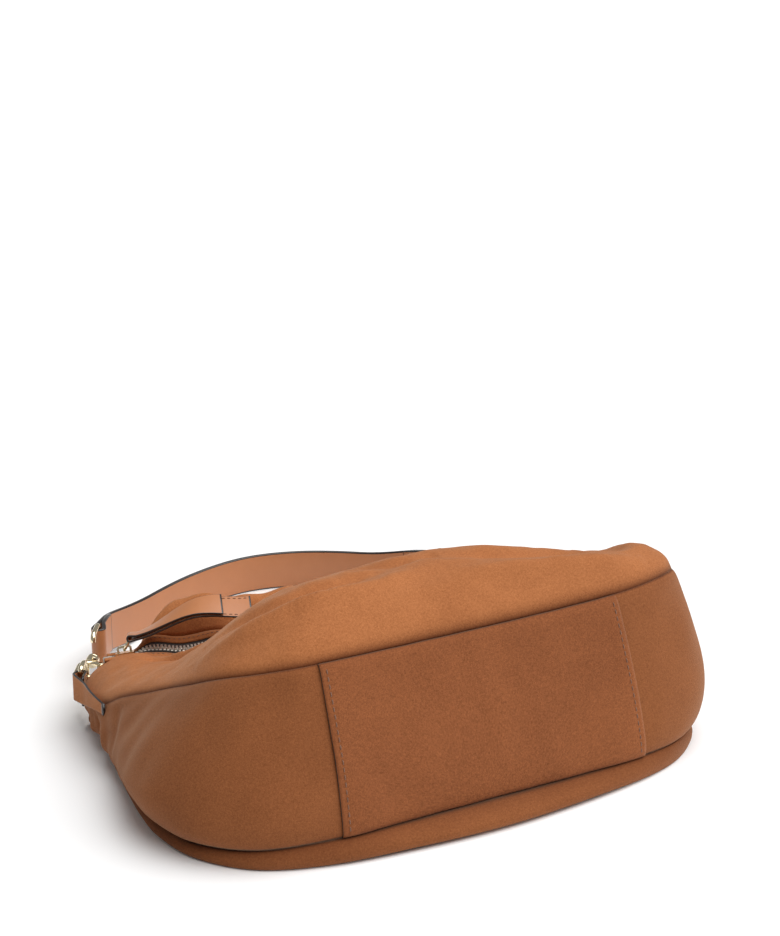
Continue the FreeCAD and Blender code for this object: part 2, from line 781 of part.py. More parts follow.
def strap():
    """A flat leather strap on its edge, lifted at both ends to the eyes it is looped round."""
    thick = read("strap_leather")
    wide = read("strap_width")
    bar = (read("hook_hole_end") + read("hook_wall") + read("barrel_length") + read("fit_gap")
           + read("eye_length"))
    hole = read("fitting_wire") * math.sqrt(0.5) + read("fit_gap")
    outer = hole + thick
    left, right = (end_placement(side) for _, side in SIDES)
    first = left.multVec(Vector(0, bar + outer - 1, 0))
    last = right.multVec(Vector(0, bar + outer - 1, 0))
    stretch = read("ear_spread") / DRAWN_SPREAD
    moved = read("ear_length") - DRAWN_LENGTH
    route = [first] + [Vector(x * stretch, y + moved, 0) for x, y in STRAP_ROUTE] + [last]
    for point in route:
        point.z = 0
    line = Part.BSplineCurve()
    out = [left.Rotation.multVec(Vector(0, 1, 0)), right.Rotation.multVec(Vector(0, -1, 0))]
    line.interpolate(Points=route, InitialTangent=out[0], FinalTangent=out[1])
    sides = []
    for side in (-1, 1):
        points = []
        for index in range(25):
            at = line.FirstParameter + (line.LastParameter - line.FirstParameter) * index / 24
            along = Vector(*line.tangent(at)[0])
            points.append(line.value(at) + along.cross(Vector(0, 0, 1)) * side * thick / 2)
        edge = Part.BSplineCurve()
        edge.interpolate(points)
        sides.append((edge.toShape(), points))
    (near_edge, near), (far_edge, far) = sides
    closed = Part.Wire([near_edge, Part.LineSegment(near[-1], far[-1]).toShape(), far_edge,
                        Part.LineSegment(far[0], near[0]).toShape()])
    tall = 2 * read("ear_height") + wide
    wall = Part.Face(closed).extrude(Vector(0, 0, tall))
    raised = read("ear_height") - wide / 2
    near_sag, far_sag = STRAP_SAG_NEAR + moved, STRAP_SAG_FAR + moved
    low = [Vector(0, 0, raised), Vector(0, near_sag, raised)]
    ease = [Vector(0, near_sag, raised), Vector(0, near_sag + 20, raised),
            Vector(0, far_sag - 20, 0), Vector(0, far_sag, 0)]
    curve = Part.BezierCurve()
    curve.setPoles(ease)
    high_curve = Part.BezierCurve()
    high_curve.setPoles([p + Vector(0, 0, wide) for p in ease])
    lift = Vector(0, 0, wide)
    far_end = Vector(0, far_sag + 100, 0)
    side_view = Part.Wire([
        Part.LineSegment(low[0], low[1]).toShape(), curve.toShape(),
        Part.LineSegment(ease[-1], far_end).toShape(),
        Part.LineSegment(far_end, far_end + lift).toShape(),
        Part.LineSegment(far_end + lift, ease[-1] + lift).toShape(), high_curve.toShape(),
        Part.LineSegment(low[1] + lift, low[0] + lift).toShape(),
        Part.LineSegment(low[0] + lift, low[0]).toShape()])
    span = 2 * read("back_width")
    profile = Part.Face(side_view).extrude(Vector(span, 0, 0)).translated(Vector(-span / 2, 0, 0))
    shape = solid(wall.common(profile))
    for placement in (left, right):
        loop = Part.makeCylinder(outer, wide, Vector(0, bar, -wide / 2))
        lap = Part.makeBox(2 * thick, read("strap_lap"), wide, Vector(-thick, bar, -wide / 2))
        bore = Part.makeCylinder(hole, 2 * wide, Vector(0, bar, -wide))
        for piece in (loop, lap, bore):
            piece.Placement = placement
        shape = shape.fuse(loop).fuse(lap).cut(bore)
    return shape_part("strap", solid(shape))


strap()

# ---------------------------------------------------------------- check and write

doc.recompute()
for item in doc.Objects:
    if "Invalid" in item.State or "Error" in item.State:
        raise RuntimeError("%s is not valid: %s" % (item.Label, item.State))
for item in subparts:
    if item.Shape.isNull() or not item.Shape.isValid():
        raise RuntimeError("%s has no valid shape" % item.Label)

os.makedirs("parts", exist_ok=True)
for item in subparts:
    item.Shape.exportStep("parts/%s.step" % item.Label)
    box = item.Shape.BoundBox
    print("%-22s solids %d volume %9.1f  x %7.1f %7.1f  y %7.1f %7.1f  z %6.1f %6.1f" % (
        item.Label, len(item.Shape.Solids), item.Shape.Volume, box.XMin, box.XMax,
        box.YMin, box.YMax, box.ZMin, box.ZMax))
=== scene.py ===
"""A soft hobo bag lying on its back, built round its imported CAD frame.

Every length is in metres, in the frame's own axes: X across the bag, Y from the base to the
mouth and the strap, Z up from the floor through the back panel to the front panel.
"""

import json
import math

import bpy
import numpy as np
from bpy.props import FloatProperty, FloatVectorProperty, PointerProperty
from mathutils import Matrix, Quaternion, Vector


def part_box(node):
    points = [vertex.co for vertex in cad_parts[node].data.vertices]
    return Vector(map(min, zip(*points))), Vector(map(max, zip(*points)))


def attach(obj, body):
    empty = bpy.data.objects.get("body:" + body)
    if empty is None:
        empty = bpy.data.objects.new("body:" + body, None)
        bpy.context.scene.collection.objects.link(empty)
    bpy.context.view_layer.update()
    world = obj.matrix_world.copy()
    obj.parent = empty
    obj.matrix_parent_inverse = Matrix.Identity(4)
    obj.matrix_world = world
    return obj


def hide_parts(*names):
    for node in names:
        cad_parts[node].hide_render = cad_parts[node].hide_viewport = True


bl_info = {
    "name": "Hobo Bag",
    "version": (1, 0, 0),
    "blender": (4, 5, 0),
    "location": "View3D > Sidebar > Hobo Bag",
    "description": "Builds a suede hobo bag with its zip, fittings and strap",
    "category": "Add Mesh",
}

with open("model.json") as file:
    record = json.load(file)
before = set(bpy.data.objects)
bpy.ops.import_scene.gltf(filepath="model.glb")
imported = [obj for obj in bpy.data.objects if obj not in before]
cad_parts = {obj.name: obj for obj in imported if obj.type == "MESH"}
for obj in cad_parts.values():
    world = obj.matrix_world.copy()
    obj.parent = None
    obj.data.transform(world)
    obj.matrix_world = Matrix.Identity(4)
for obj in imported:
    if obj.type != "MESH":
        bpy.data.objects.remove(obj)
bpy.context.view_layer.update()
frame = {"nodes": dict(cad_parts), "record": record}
JOINTS = {joint["name"]: joint for joint in frame["record"]["behaviour"]["joints"]}

# ---------------------------------------------------------------- places taken from the frame

BACK_LOW, BACK_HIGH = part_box("back_panel")
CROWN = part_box("front_panel")[1][2]
# The shape lists below are drawn for a back panel 394 mm wide and a crown 150 mm high.
WIDE = BACK_HIGH[0] / 0.1974
LONG = (BACK_HIGH[1] - BACK_LOW[1]) / 0.270
HIGH = CROWN / 0.150

ZIP_CENTRE = np.array(JOINTS["zip_slide"]["pos_m"])
ZIP_UP = np.array(JOINTS["zip_slide"]["axis"])
ZIP_ALONG = np.array([1.0, 0.0, 0.0])
ZIP_OUT = np.cross(ZIP_UP, ZIP_ALONG)
RING_PIVOT = np.array(JOINTS["pull_ring_swing"]["pos_m"])
SLIDER_FOOT = RING_PIVOT - ZIP_UP * np.dot(RING_PIVOT - ZIP_CENTRE, ZIP_UP)
ZIP_RADIUS = float(np.linalg.norm(SLIDER_FOOT - ZIP_CENTRE))
TEETH_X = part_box("zip_teeth_front")[1][0]
TAPE_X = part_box("zip_tape_front")[1][0]
LIP_OFFSET = 0.015
TAPE_OFFSET = 0.0135

EARS = {
    "left": (np.array(JOINTS["ring_left_swing"]["pos_m"]), np.array(JOINTS["hook_left_swivel"]["axis"])),
    "right": (np.array(JOINTS["ring_right_swing"]["pos_m"]), np.array(JOINTS["hook_right_swivel"]["axis"])),
}
UP = np.array([0.0, 0.0, 1.0])


def across_of(side):
    """The level direction square to an ear's line of fittings, towards the base."""
    return np.cross(EARS[side][1], UP)


# ---------------------------------------------------------------- the bag's lines

# Each row runs from an ear to the middle of the base: the front seam, the back seam, how far the
# gusset swells between them, how far the back panel rolls out under its seam, the front panel's
# fullness near its seam and in its middle, and where the row's line meets the lips (its X there).
LEFT_ROWS = [
    ((-.176, .258, .027), (-.168, .259, .012), .002, .005, .00, .00, -.172),
    ((-.183, .235, .031), (-.168, .238, .009), .005, .006, .05, .02, -.160),
    ((-.186, .203, .040), (-.174, .205, .007), .007, .007, .10, .04, -.146),
    ((-.182, .177, .055), (-.181, .172, .006), .011, .007, .12, .05, -.132),
    ((-.176, .147, .069), (-.187, .142, .006), .016, .007, .14, .07, -.118),
    ((-.171, .122, .081), (-.192, .112, .006), .020, .007, .18, .14, -.106),
    ((-.169, .098, .092), (-.195, .082, .007), .023, .006, .30, .28, -.094),
    ((-.162, .070, .105), (-.189, .047, .009), .020, .005, .50, .46, -.078),
    ((-.143, .048, .113), (-.163, .015, .012), .013, .005, .72, .68, -.060),
    ((-.115, .034, .118), (-.118, .000, .015), .005, .008, .86, .84, -.044),
    ((-.060, .033, .118), (-.062, .000, .015), .003, .016, .94, .92, -.022),
    ((.000, .033, .118), (.000, .000, .015), .003, .019, 1.00, .96, .000),
]
RIGHT_ROWS = [
    ((.060, .034, .118), (.062, .000, .015), .003, .014, 1.02, .84, .022),
    ((.115, .037, .1185), (.118, .002, .015), .005, .006, .95, .50, .044),
    ((.150, .044, .119), (.154, .013, .014), .009, .002, .80, .22, .060),
    ((.177, .060, .116), (.179, .040, .011), .014, .005, .74, .12, .078),
    ((.188, .090, .104), (.187, .078, .008), .016, .008, .52, .06, .094),
    ((.188, .120, .089), (.189, .110, .007), .016, .008, .32, .04, .106),
    ((.186, .147, .075), (.189, .142, .006), .014, .008, .22, .03, .118),
    ((.183, .175, .061), (.187, .172, .006), .011, .008, .14, .02, .132),
    ((.181, .205, .048), (.183, .205, .007), .009, .008, .10, .01, .146),
    ((.179, .235, .039), (.179, .238, .010), .006, .007, .05, .00, .160),
    ((.175, .258, .036), (.173, .259, .014), .002, .006, .00, .00, .172),
]
ROWS = LEFT_ROWS + RIGHT_ROWS
COLUMNS = 380

# How far the front panel stands over the straight line from its seam to its lip, at shares of that
# line: the fullness turned in near the seam, and the fullness of the middle.
SHOULDER_RISE = [(0, 0), (.03, .011), (.095, .022), (.15, .023), (.32, .021), (.51, .0165), (.71, .010),
                 (.88, .004), (1, 0)]
MIDDLE_RISE = [(0, 0), (.03, .000), (.095, .0034), (.15, .011), (.32, .028), (.51, .031), (.71, .025),
               (.88, .012), (1, 0)]

# Folds of the front panel: their lines in plan, half width and height.
FRONT_FOLDS = [
    ([(-.165, .100), (-.120, .072), (-.060, .066), (-.010, .074)], .0075, .0042),
    ([(-.150, .118), (-.110, .092), (-.055, .086), (-.005, .094)], .0070, -.0030),
    ([(.000, .062), (.060, .053), (.110, .050), (.150, .052)], .0080, .0034),
    ([(.000, .092), (.055, .080), (.115, .078)], .0090, -.0040),
    ([(-.052, .108), (-.020, .098), (.012, .094)], .0080, -.0030),
    ([(-.140, .228), (-.124, .200), (-.116, .176)], .0050, -.0030),
    ([(-.128, .228), (-.112, .204), (-.100, .184)], .0050, .0032),
    ([(-.108, .218), (-.094, .200), (-.086, .178)], .0050, -.0030),
    ([(.150, .060), (.158, .082), (.160, .110)], .0070, .0012),
    ([(.138, .066), (.146, .090), (.150, .122)], .0060, -.0014),
    ([(.120, .220), (.100, .196), (.090, .166)], .0060, -.0030),
    ([(.060, .208), (.040, .180), (.036, .150)], .0070, -.0026),
    ([(-.010, .206), (-.004, .176), (-.010, .150)], .0070, .0024),
    ([(-.060, .214), (-.050, .182), (-.060, .150)], .0070, -.0024),
]
# Folds of the gusset: position along the strip (0 left ear to 1 right ear) and up it.
GUSSET_FOLDS = [
    ([(.035, .95), (.050, .55), (.045, .10)], .0045, .0030),
    ([(.052, .98), (.068, .60), (.062, .15)], .0045, -.0028),
    ([(.075, .90), (.090, .50), (.088, .10)], .0060, .0026),
    ([(.105, .95), (.120, .60), (.118, .20)], .0065, -.0022),
    ([(.150, .30), (.200, .22), (.250, .26)], .0080, .0020),
    ([(.755, .30), (.775, .14), (.800, .06)], .0060, .0030),
    ([(.730, .22), (.752, .10), (.770, .03)], .0050, -.0028),
    ([(.815, .95), (.835, .60), (.830, .25)], .0060, -.0020),
    ([(.940, .95), (.925, .50), (.935, .10)], .0050, -.0028),
    ([(.960, .95), (.945, .50), (.955, .10)], .0050, .0028),
]


# How much deeper than listed the front panel's folds are pressed.
FOLD_DEPTH = 1.7


def placed(x, y, z):
    """A point of the shape lists, scaled to the frame's own box."""
    return np.array([x * WIDE, BACK_LOW[1] + (y + .008) * LONG, z * HIGH])


def curve_through(points, positions):
    """Points on the smooth curve through a list of points, at positions counted in points."""
    points = np.asarray(points, float)
    last = len(points) - 1
    whole = np.clip(np.floor(positions).astype(int), 0, last - 1)
    part = (np.asarray(positions) - whole)[:, None]
    before = points[np.clip(whole - 1, 0, last)]
    start, end = points[whole], points[whole + 1]
    after = points[np.clip(whole + 2, 0, last)]
    first = np.where((whole == 0)[:, None], end - start, (end - before) / 2)
    second = np.where((whole == last - 1)[:, None], end - start, (after - start) / 2)
    return ((2 * part ** 3 - 3 * part ** 2 + 1) * start + (part ** 3 - 2 * part ** 2 + part) * first
            + (3 * part ** 2 - 2 * part ** 3) * end + (part ** 3 - part ** 2) * second)


def evenly(points, count):
    """Positions along a curve, counted in its points, that lie evenly along its length."""
    fine = np.linspace(0, len(points) - 1, 2000)
    line = curve_through(points, fine)
    length = np.concatenate([[0], np.cumsum(np.linalg.norm(np.diff(line, axis=0), axis=1))])
    return np.interp(np.linspace(0, length[-1], count), length, fine)


def smooth(value):
    """An even ease from 0 to 1."""
    value = np.clip(value, 0, 1)
    return value * value * (3 - 2 * value)


def unit(vectors):
    """The directions of vectors, one unit long."""
    return vectors / np.maximum(np.linalg.norm(vectors, axis=-1, keepdims=True), 1e-9)


def bump(x, start, full, level, end):
    """A soft rise from 0 at start to 1 between full and level, and back to 0 at end."""
    return smooth((x - start) / (full - start)) * smooth((end - x) / (end - level))


def zip_frame(x):
    """The zip's middle line at each X with its directions along, across and up.

    Just behind the slider the band sags into the mouth's fold and turns its face to the front.
    """
    x = np.asarray(x, float)
    angle = np.arcsin(np.clip(x / ZIP_RADIUS, -1, 1))
    along = np.multiply.outer(np.cos(angle), ZIP_ALONG) + np.multiply.outer(np.sin(angle), ZIP_OUT)
    across = np.multiply.outer(np.sin(angle), ZIP_ALONG) - np.multiply.outer(np.cos(angle), ZIP_OUT)
    roll = math.radians(27) * bump(x, -.140 * WIDE, -.126 * WIDE, -.092 * WIDE, -.055 * WIDE)
    sag = (.0024 * bump(x, -.140 * WIDE, -.130 * WIDE, -.128 * WIDE, -.112 * WIDE)
           - .0022 * bump(x, -.120 * WIDE, -.104 * WIDE, -.100 * WIDE, -.070 * WIDE))
    turned = across * np.cos(roll)[..., None] - ZIP_UP * np.sin(roll)[..., None]
    lifted = ZIP_UP * np.cos(roll)[..., None] + across * np.sin(roll)[..., None]
    return ZIP_CENTRE + across * ZIP_RADIUS + ZIP_UP * sag[..., None], along, turned, lifted


def on_zip(x, offset, rise=0.0):
    """A point beside the zip's middle line: offset towards the front lip, and rise over it."""
    middle, _, across, up = zip_frame(x)
    return middle + across * offset + up * rise


def fold_height(u, v, folds):
    """The summed height of soft folds at positions on a surface, fading at each fold's ends."""
    height = np.zeros_like(u)
    for line, width, rise in folds:
        points = curve_through(np.array([(x, y, 0) for x, y in line]), np.linspace(0, len(line) - 1, 40))
        share = np.sin(np.linspace(0, math.pi, 40)) ** .7
        distance = np.full(u.shape, 1e9)
        fade = np.zeros_like(u)
        for (x, y, _), strength in zip(points, share):
            away = (u - x) ** 2 + (v - y) ** 2
            nearer = away < distance
            distance = np.where(nearer, away, distance)
            fade = np.where(nearer, strength, fade)
        height += rise * fade * np.exp(-distance / width ** 2)
    return height


def ripple(u, v, seed, scale):
    """A soft, repeatable unevenness made of a few crossing waves."""
    maker = np.random.default_rng(seed)
    total = np.zeros_like(u)
    for _ in range(9):
        angle, phase = maker.uniform(0, 2 * math.pi, 2)
        rate = maker.uniform(.6, 1.9) / scale
        total += np.sin(2 * math.pi * rate * (u * math.cos(angle) + v * math.sin(angle)) + phase)
    return total / 9


FRONT_SEAM = np.array([placed(*row[0]) for row in ROWS])
BACK_SEAM = np.array([placed(*row[1]) for row in ROWS])
ROW_VALUES = np.array([row[2:6] + (row[6] * WIDE,) for row in ROWS])
STEPS = evenly((FRONT_SEAM + BACK_SEAM) / 2, COLUMNS)
SWELL, ROLL, SHOULDER, MIDDLE, LIP_X = curve_through(ROW_VALUES, STEPS).T


def seam_lines():
    """The front seam and the back seam at every column."""
    return curve_through(FRONT_SEAM, STEPS), curve_through(BACK_SEAM, STEPS)


def lip_line(front):
    """The front or the back lip of the mouth at every column, drawn down to the ears."""
    x = LIP_X
    line = on_zip(x, LIP_OFFSET if front else -LIP_OFFSET, .0016 if front else .0004)
    ends = FRONT_SEAM if front else BACK_SEAM
    pull = smooth((np.abs(x) - .146 * WIDE) / (.026 * WIDE))[:, None]
    inward = np.array([.003, .002, .001]) if front else np.array([.003, .004, .006])
    ear = np.where((x < 0)[:, None], ends[0] + inward, ends[-1] + inward * [-1, 1, 1])
    return line * (1 - pull) + ear * pull


def gusset_grid(count=46, length=.9, height_drawn=.1):
    """The gusset's surface: rows from the back seam up to the front seam, one line a column."""
    front, back = seam_lines()
    share = np.linspace(0, 1, count)
    share = (.55 * share + .45 * (.5 - .5 * np.cos(math.pi * share)))[:, None, None]
    along = unit(np.gradient((front + back) / 2, axis=0))
    rise = front - back
    out = unit(np.cross(along, rise))
    points = back + rise * share
    height = np.linalg.norm(rise, axis=1)[None, :]
    flat = share[:, :, 0]
    u = np.broadcast_to(np.linspace(0, 1, COLUMNS)[None, :], (count, COLUMNS))
    v = np.broadcast_to(flat, u.shape)
    bulge = np.sin(math.pi * flat ** .62) * SWELL[None, :]
    near = np.minimum(flat, 1 - flat) * height
    rolled = .0019 * (1 - np.exp(-near / .0022))
    along_strip, up_strip = u * length, v * height_drawn
    listed = [([(x * length, y * height_drawn) for x, y in line], width, depth)
              for line, width, depth in GUSSET_FOLDS]
    folds = fold_height(along_strip, up_strip, listed)
    settle = np.clip(near / .008, 0, 1)
    middle = smooth(1 - (np.abs(u - .5) - .12) / .05)
    soft = (folds + .0014 * ripple(along_strip, up_strip, 4, .06)) * settle * (1 - .75 * middle)
    return points + out[None] * (bulge + rolled + soft)[:, :, None], near


def rise_at(share, table):
    """The height a rise table gives at shares of the way from seam to lip, as a column."""
    points = np.array(table)
    fine = curve_through(points, np.linspace(0, len(points) - 1, 400))
    return np.interp(share, fine[:, 0], fine[:, 1])[:, None]


def front_grid(count=118):
    """The front panel's surface: rows from its seam to its lip, one line a column."""
    seam, _ = seam_lines()
    lip = lip_line(True)
    share = np.linspace(0, 1, count) ** 1.25
    reach = np.linalg.norm(lip - seam, axis=1)
    grid = seam + (lip - seam) * share[:, None, None]
    height = HIGH * (rise_at(share, SHOULDER_RISE) * SHOULDER + rise_at(share, MIDDLE_RISE) * MIDDLE)
    near = np.minimum(share[:, None] * reach[None, :], .5)
    lip_near = (1 - share[:, None]) * reach[None, :]
    rolled = .0021 * (1 - np.exp(-near / .0022))
    u, v = grid[:, :, 0], grid[:, :, 1]
    settle = np.clip(near / .010, 0, 1) * np.clip(lip_near / .012, 0, 1)
    folds = FOLD_DEPTH * fold_height(u, v, FRONT_FOLDS)
    soft = (folds + .0016 * ripple(u, v, 11, .055) + .0006 * ripple(u, v, 12, .022)) * settle
    grid = grid.copy()
    grid[:, :, 2] += height + rolled + soft
    return grid, near


# The back panel from the floor up to its lip: distance past the lip, and height in shares of it.
MOUTH_PLAIN = [(-.032, 0), (-.026, .02), (-.018, .20), (-.011, .48), (-.006, .74), (-.002, .92), (0, 1)]
MOUTH_PUFFED = [(.006, 0), (.017, .10), (.026, .55), (.027, 1.05), (.020, 1.38), (.009, 1.34), (0, 1)]


def back_grid(count=74):
    """The back panel's surface: it rolls under from its seam, lies flat and rises to its lip."""
    _, seam = seam_lines()
    lip = lip_line(False)
    along = unit(np.gradient(seam, axis=0) * [1, 1, 0])
    out = unit(np.cross(along, UP))
    tall = seam[:, 2:3]
    profile = [(0, 1), (.34, .95), (.62, .84), (.86, .64), (1, .42), (.96, .20), (.70, .05), (.30, .0),
               (-.3, .0), (-1.2, .0)]
    rows = [seam + out * ROLL[:, None] * reach - UP * tall * (1 - height) for reach, height in profile]
    puff = bump(LIP_X, -.150 * WIDE, -.100 * WIDE, .060 * WIDE, .150 * WIDE)[:, None]
    rise = []
    for plain, puffed in zip(MOUTH_PLAIN, MOUTH_PUFFED):
        past = plain[0] * (1 - puff) + puffed[0] * puff
        share = plain[1] * (1 - puff) + puffed[1] * puff
        rise.append(lip + [0, 1, 0] * past + UP * (share - 1) * lip[:, 2:3])
    start, foot = rows[-1], rise[0]
    foot = np.where((foot[:, 1:2] < start[:, 1:2]) & (np.abs(foot[:, :1]) > .15), start * .5 + lip * .5, foot)
    flat = [start + (foot - start) * share for share in np.linspace(0, 1, count)[1:-1]]
    flat = [row * [1, 1, 0] for row in flat]
    positions = np.linspace(0, len(rise) - 1, 26)
    rise = np.array(rise)
    upright = np.stack([curve_through(rise[:, column], positions) for column in range(COLUMNS)], 1)
    grid = np.concatenate([np.array(rows), np.array(flat), upright])
    u, v = grid[:, :, 0], grid[:, :, 1]
    lifted = np.clip(grid[:, :, 2] / .02, 0, 1) * np.clip(np.linalg.norm(grid - lip, axis=2) / .012, 0, 1)
    lifted[:len(profile)] = 0
    grid[:, :, 2] += .0026 * ripple(u, v, 21, .05) * lifted
    steps = np.linalg.norm(np.diff(grid, axis=0), axis=2)
    return grid, np.concatenate([np.zeros((1, COLUMNS)), np.cumsum(steps, axis=0)])


def inset(grid, distance, flip=False):
    """A surface drawn inward from a grid by a distance along its normals."""
    normal = unit(np.cross(np.gradient(grid, axis=1), np.gradient(grid, axis=0)))
    return grid - normal * (-distance if flip else distance)


# ---------------------------------------------------------------- mesh helpers


def mesh_piece(name, points, faces, smooth_faces=True):
    """A new object from points and faces."""
    mesh = bpy.data.meshes.new(name)
    mesh.from_pydata([tuple(p) for p in points], [], faces)
    mesh.validate()
    if smooth_faces:
        mesh.shade_smooth()
    piece = bpy.data.objects.new(name, mesh)
    bpy.context.scene.collection.objects.link(piece)
    return piece


def grid_faces(rows, columns, flip=False, closed=False, start=0):
    """The four-sided faces of a grid of points, its columns closed into rings where asked."""
    faces = []
    for row in range(rows - 1):
        for column in range(columns if closed else columns - 1):
            following = (column + 1) % columns
            corner = start + row * columns
            face = (corner + column, corner + following, corner + columns + following,
                    corner + columns + column)
            faces.append(face[::-1] if flip else face)
    return faces


def grid_piece(name, grid, flip=False):
    """A new sheet from a grid of points."""
    rows, columns = grid.shape[:2]
    return mesh_piece(name, grid.reshape(-1, 3), grid_faces(rows, columns, flip))


def mark(piece, name, values):
    """Store a number at each point, for a material to read."""
    layer = piece.data.attributes.new(name, "FLOAT", "POINT")
    layer.data.foreach_set("value", np.asarray(values, np.float32).ravel())


def select_only(piece):
    """Make one piece the selected and active one."""
    bpy.ops.object.select_all(action="DESELECT")
    piece.select_set(True)
    bpy.context.view_layer.objects.active = piece


def thicken(piece, thickness, offset=-1.0, rim_slot=0):
    """Give a sheet its thickness, its rim in the material slot named."""
    select_only(piece)
    solid = piece.modifiers.new("thickness", "SOLIDIFY")
    solid.thickness = thickness
    solid.offset = offset
    solid.material_offset_rim = rim_slot
    bpy.ops.object.modifier_apply(modifier=solid.name)


def lay_flat(piece, floor):
    """Press whatever hangs under a level up to it."""
    for corner in piece.data.vertices:
        corner.co.z = max(corner.co.z, floor)


def joined(name, pieces):
    """Join pieces into one, which keeps the first one's materials."""
    bpy.ops.object.select_all(action="DESELECT")
    for piece in pieces:
        piece.select_set(True)
    bpy.context.view_layer.objects.active = pieces[0]
    bpy.ops.object.join()
    pieces[0].name = name
    pieces[0].data.name = name
    return pieces[0]


def finish_piece(piece, body, materials, replaces=()):
    """Give a piece its materials and the body it moves with, and hide the CAD nodes it stands for."""
    if not piece.data.materials:
        for material in materials:
            piece.data.materials.append(material)
    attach(piece, body)
    if replaces:
        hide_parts(*replaces)
    return piece


def swept(name, path, profile, side, rise):
    """A bar along a path: a closed profile placed by the path's side and rise directions."""
    path, side, rise = (np.asarray(a, float) for a in (path, side, rise))
    profile = np.asarray(profile, float)
    count, around = len(path), len(profile)
    points = (path[:, None] + side[:, None] * profile[None, :, :1] + rise[:, None] * profile[None, :, 1:])
    faces = grid_faces(count, around, closed=True)
    faces.append(tuple(range(around))[::-1])
    faces.append(tuple((count - 1) * around + k for k in range(around)))
    return mesh_piece(name, points.reshape(-1, 3), faces)


def strip_profile(thickness, width, corner, steps=4):
    """A flat strap's section with rounded edges."""
    points = []
    for quarter, (sx, sy) in enumerate(((1, 1), (-1, 1), (-1, -1), (1, -1))):
        middle = (sx * (thickness / 2 - corner), sy * (width / 2 - corner))
        for step in range(steps + 1):
            angle = math.pi / 2 * (quarter + step / steps)
            points.append((middle[0] + corner * math.cos(angle), middle[1] + corner * math.sin(angle)))
    return points


def stitch_row(path, normals, length, radius, pitch):
    """Points and faces of a row of thread stitches lying along a path."""
    path, normals = np.asarray(path, float), np.asarray(normals, float)
    run = np.concatenate([[0], np.cumsum(np.linalg.norm(np.diff(path, axis=0), axis=1))])
    points, faces = [], []
    around = 6
    for start in np.arange(pitch * .3, run[-1] - length, pitch):
        at = [start + length * k for k in (0, .18, .5, .82, 1)]
        line = np.stack([np.interp(at, run, path[:, k]) for k in range(3)], 1)
        up = unit(np.stack([np.interp(at, run, normals[:, k]) for k in range(3)], 1))
        side = unit(np.cross(unit(np.gradient(line, axis=0)), up))
        base = len(points)
        for k, (share, lift) in enumerate(((.35, -.8), (.9, .2), (1, .55), (.9, .2), (.35, -.8))):
            for a in np.linspace(0, 2 * math.pi, around, endpoint=False):
                points.append(line[k] + radius * share * (side[k] * math.cos(a) + up[k] * math.sin(a))
                              + up[k] * radius * lift)
        faces += grid_faces(5, around, closed=True, start=base)
        faces.append(tuple(base + k for k in range(around))[::-1])
        faces.append(tuple(base + 4 * around + k for k in range(around)))
    return points, faces


def stitches(name, rows, length=.0036, radius=.00042, pitch=.0048):
    """One piece that holds several rows of stitches; each row is a path and its normals."""
    points, faces = [], []
    for path, normals in rows:
        more, their = stitch_row(path, normals, length, radius, pitch)
        faces += [tuple(k + len(points) for k in face) for face in their]
        points += more
    return mesh_piece(name, points, faces)


# ---------------------------------------------------------------- materials


def node(tree, kind, place, **values):
    """A new node, its sockets or settings given by name."""
    made = tree.nodes.new(kind)
    made.location = place
    for key, value in values.items():
        if key in made.inputs:
            made.inputs[key].default_value = value
        else:
            setattr(made, key.lower(), value)
    return made


def spread_between(tree, place, taken, given):
    """A map range node, from the range it takes to the range it gives."""
    spread = node(tree, "ShaderNodeMapRange", place)
    for label, value in zip(("From Min", "From Max", "To Min", "To Max"), (*taken, *given)):
        spread.inputs[label].default_value = value
    return spread


def two_tone(tree, place, dark, light, factor):
    """Mix two colours by a factor."""
    mix = node(tree, "ShaderNodeMix", place, data_type="RGBA")
    mix.inputs[6].default_value = (*dark, 1)
    mix.inputs[7].default_value = (*light, 1)
    tree.links.new(factor, mix.inputs["Factor"])
    return mix.outputs[2]


def socketed_group(name, inputs, outputs):
    """A new shader node group with its named sockets."""
    group = bpy.data.node_groups.new(name, "ShaderNodeTree")
    for label, kind, default in inputs:
        socket = group.interface.new_socket(label, in_out="INPUT", socket_type=kind)
        socket.default_value = default
    for label, kind in outputs:
        group.interface.new_socket(label, in_out="OUTPUT", socket_type=kind)
    return group, node(group, "NodeGroupInput", (-900, 0)), node(group, "NodeGroupOutput", (700, 0))


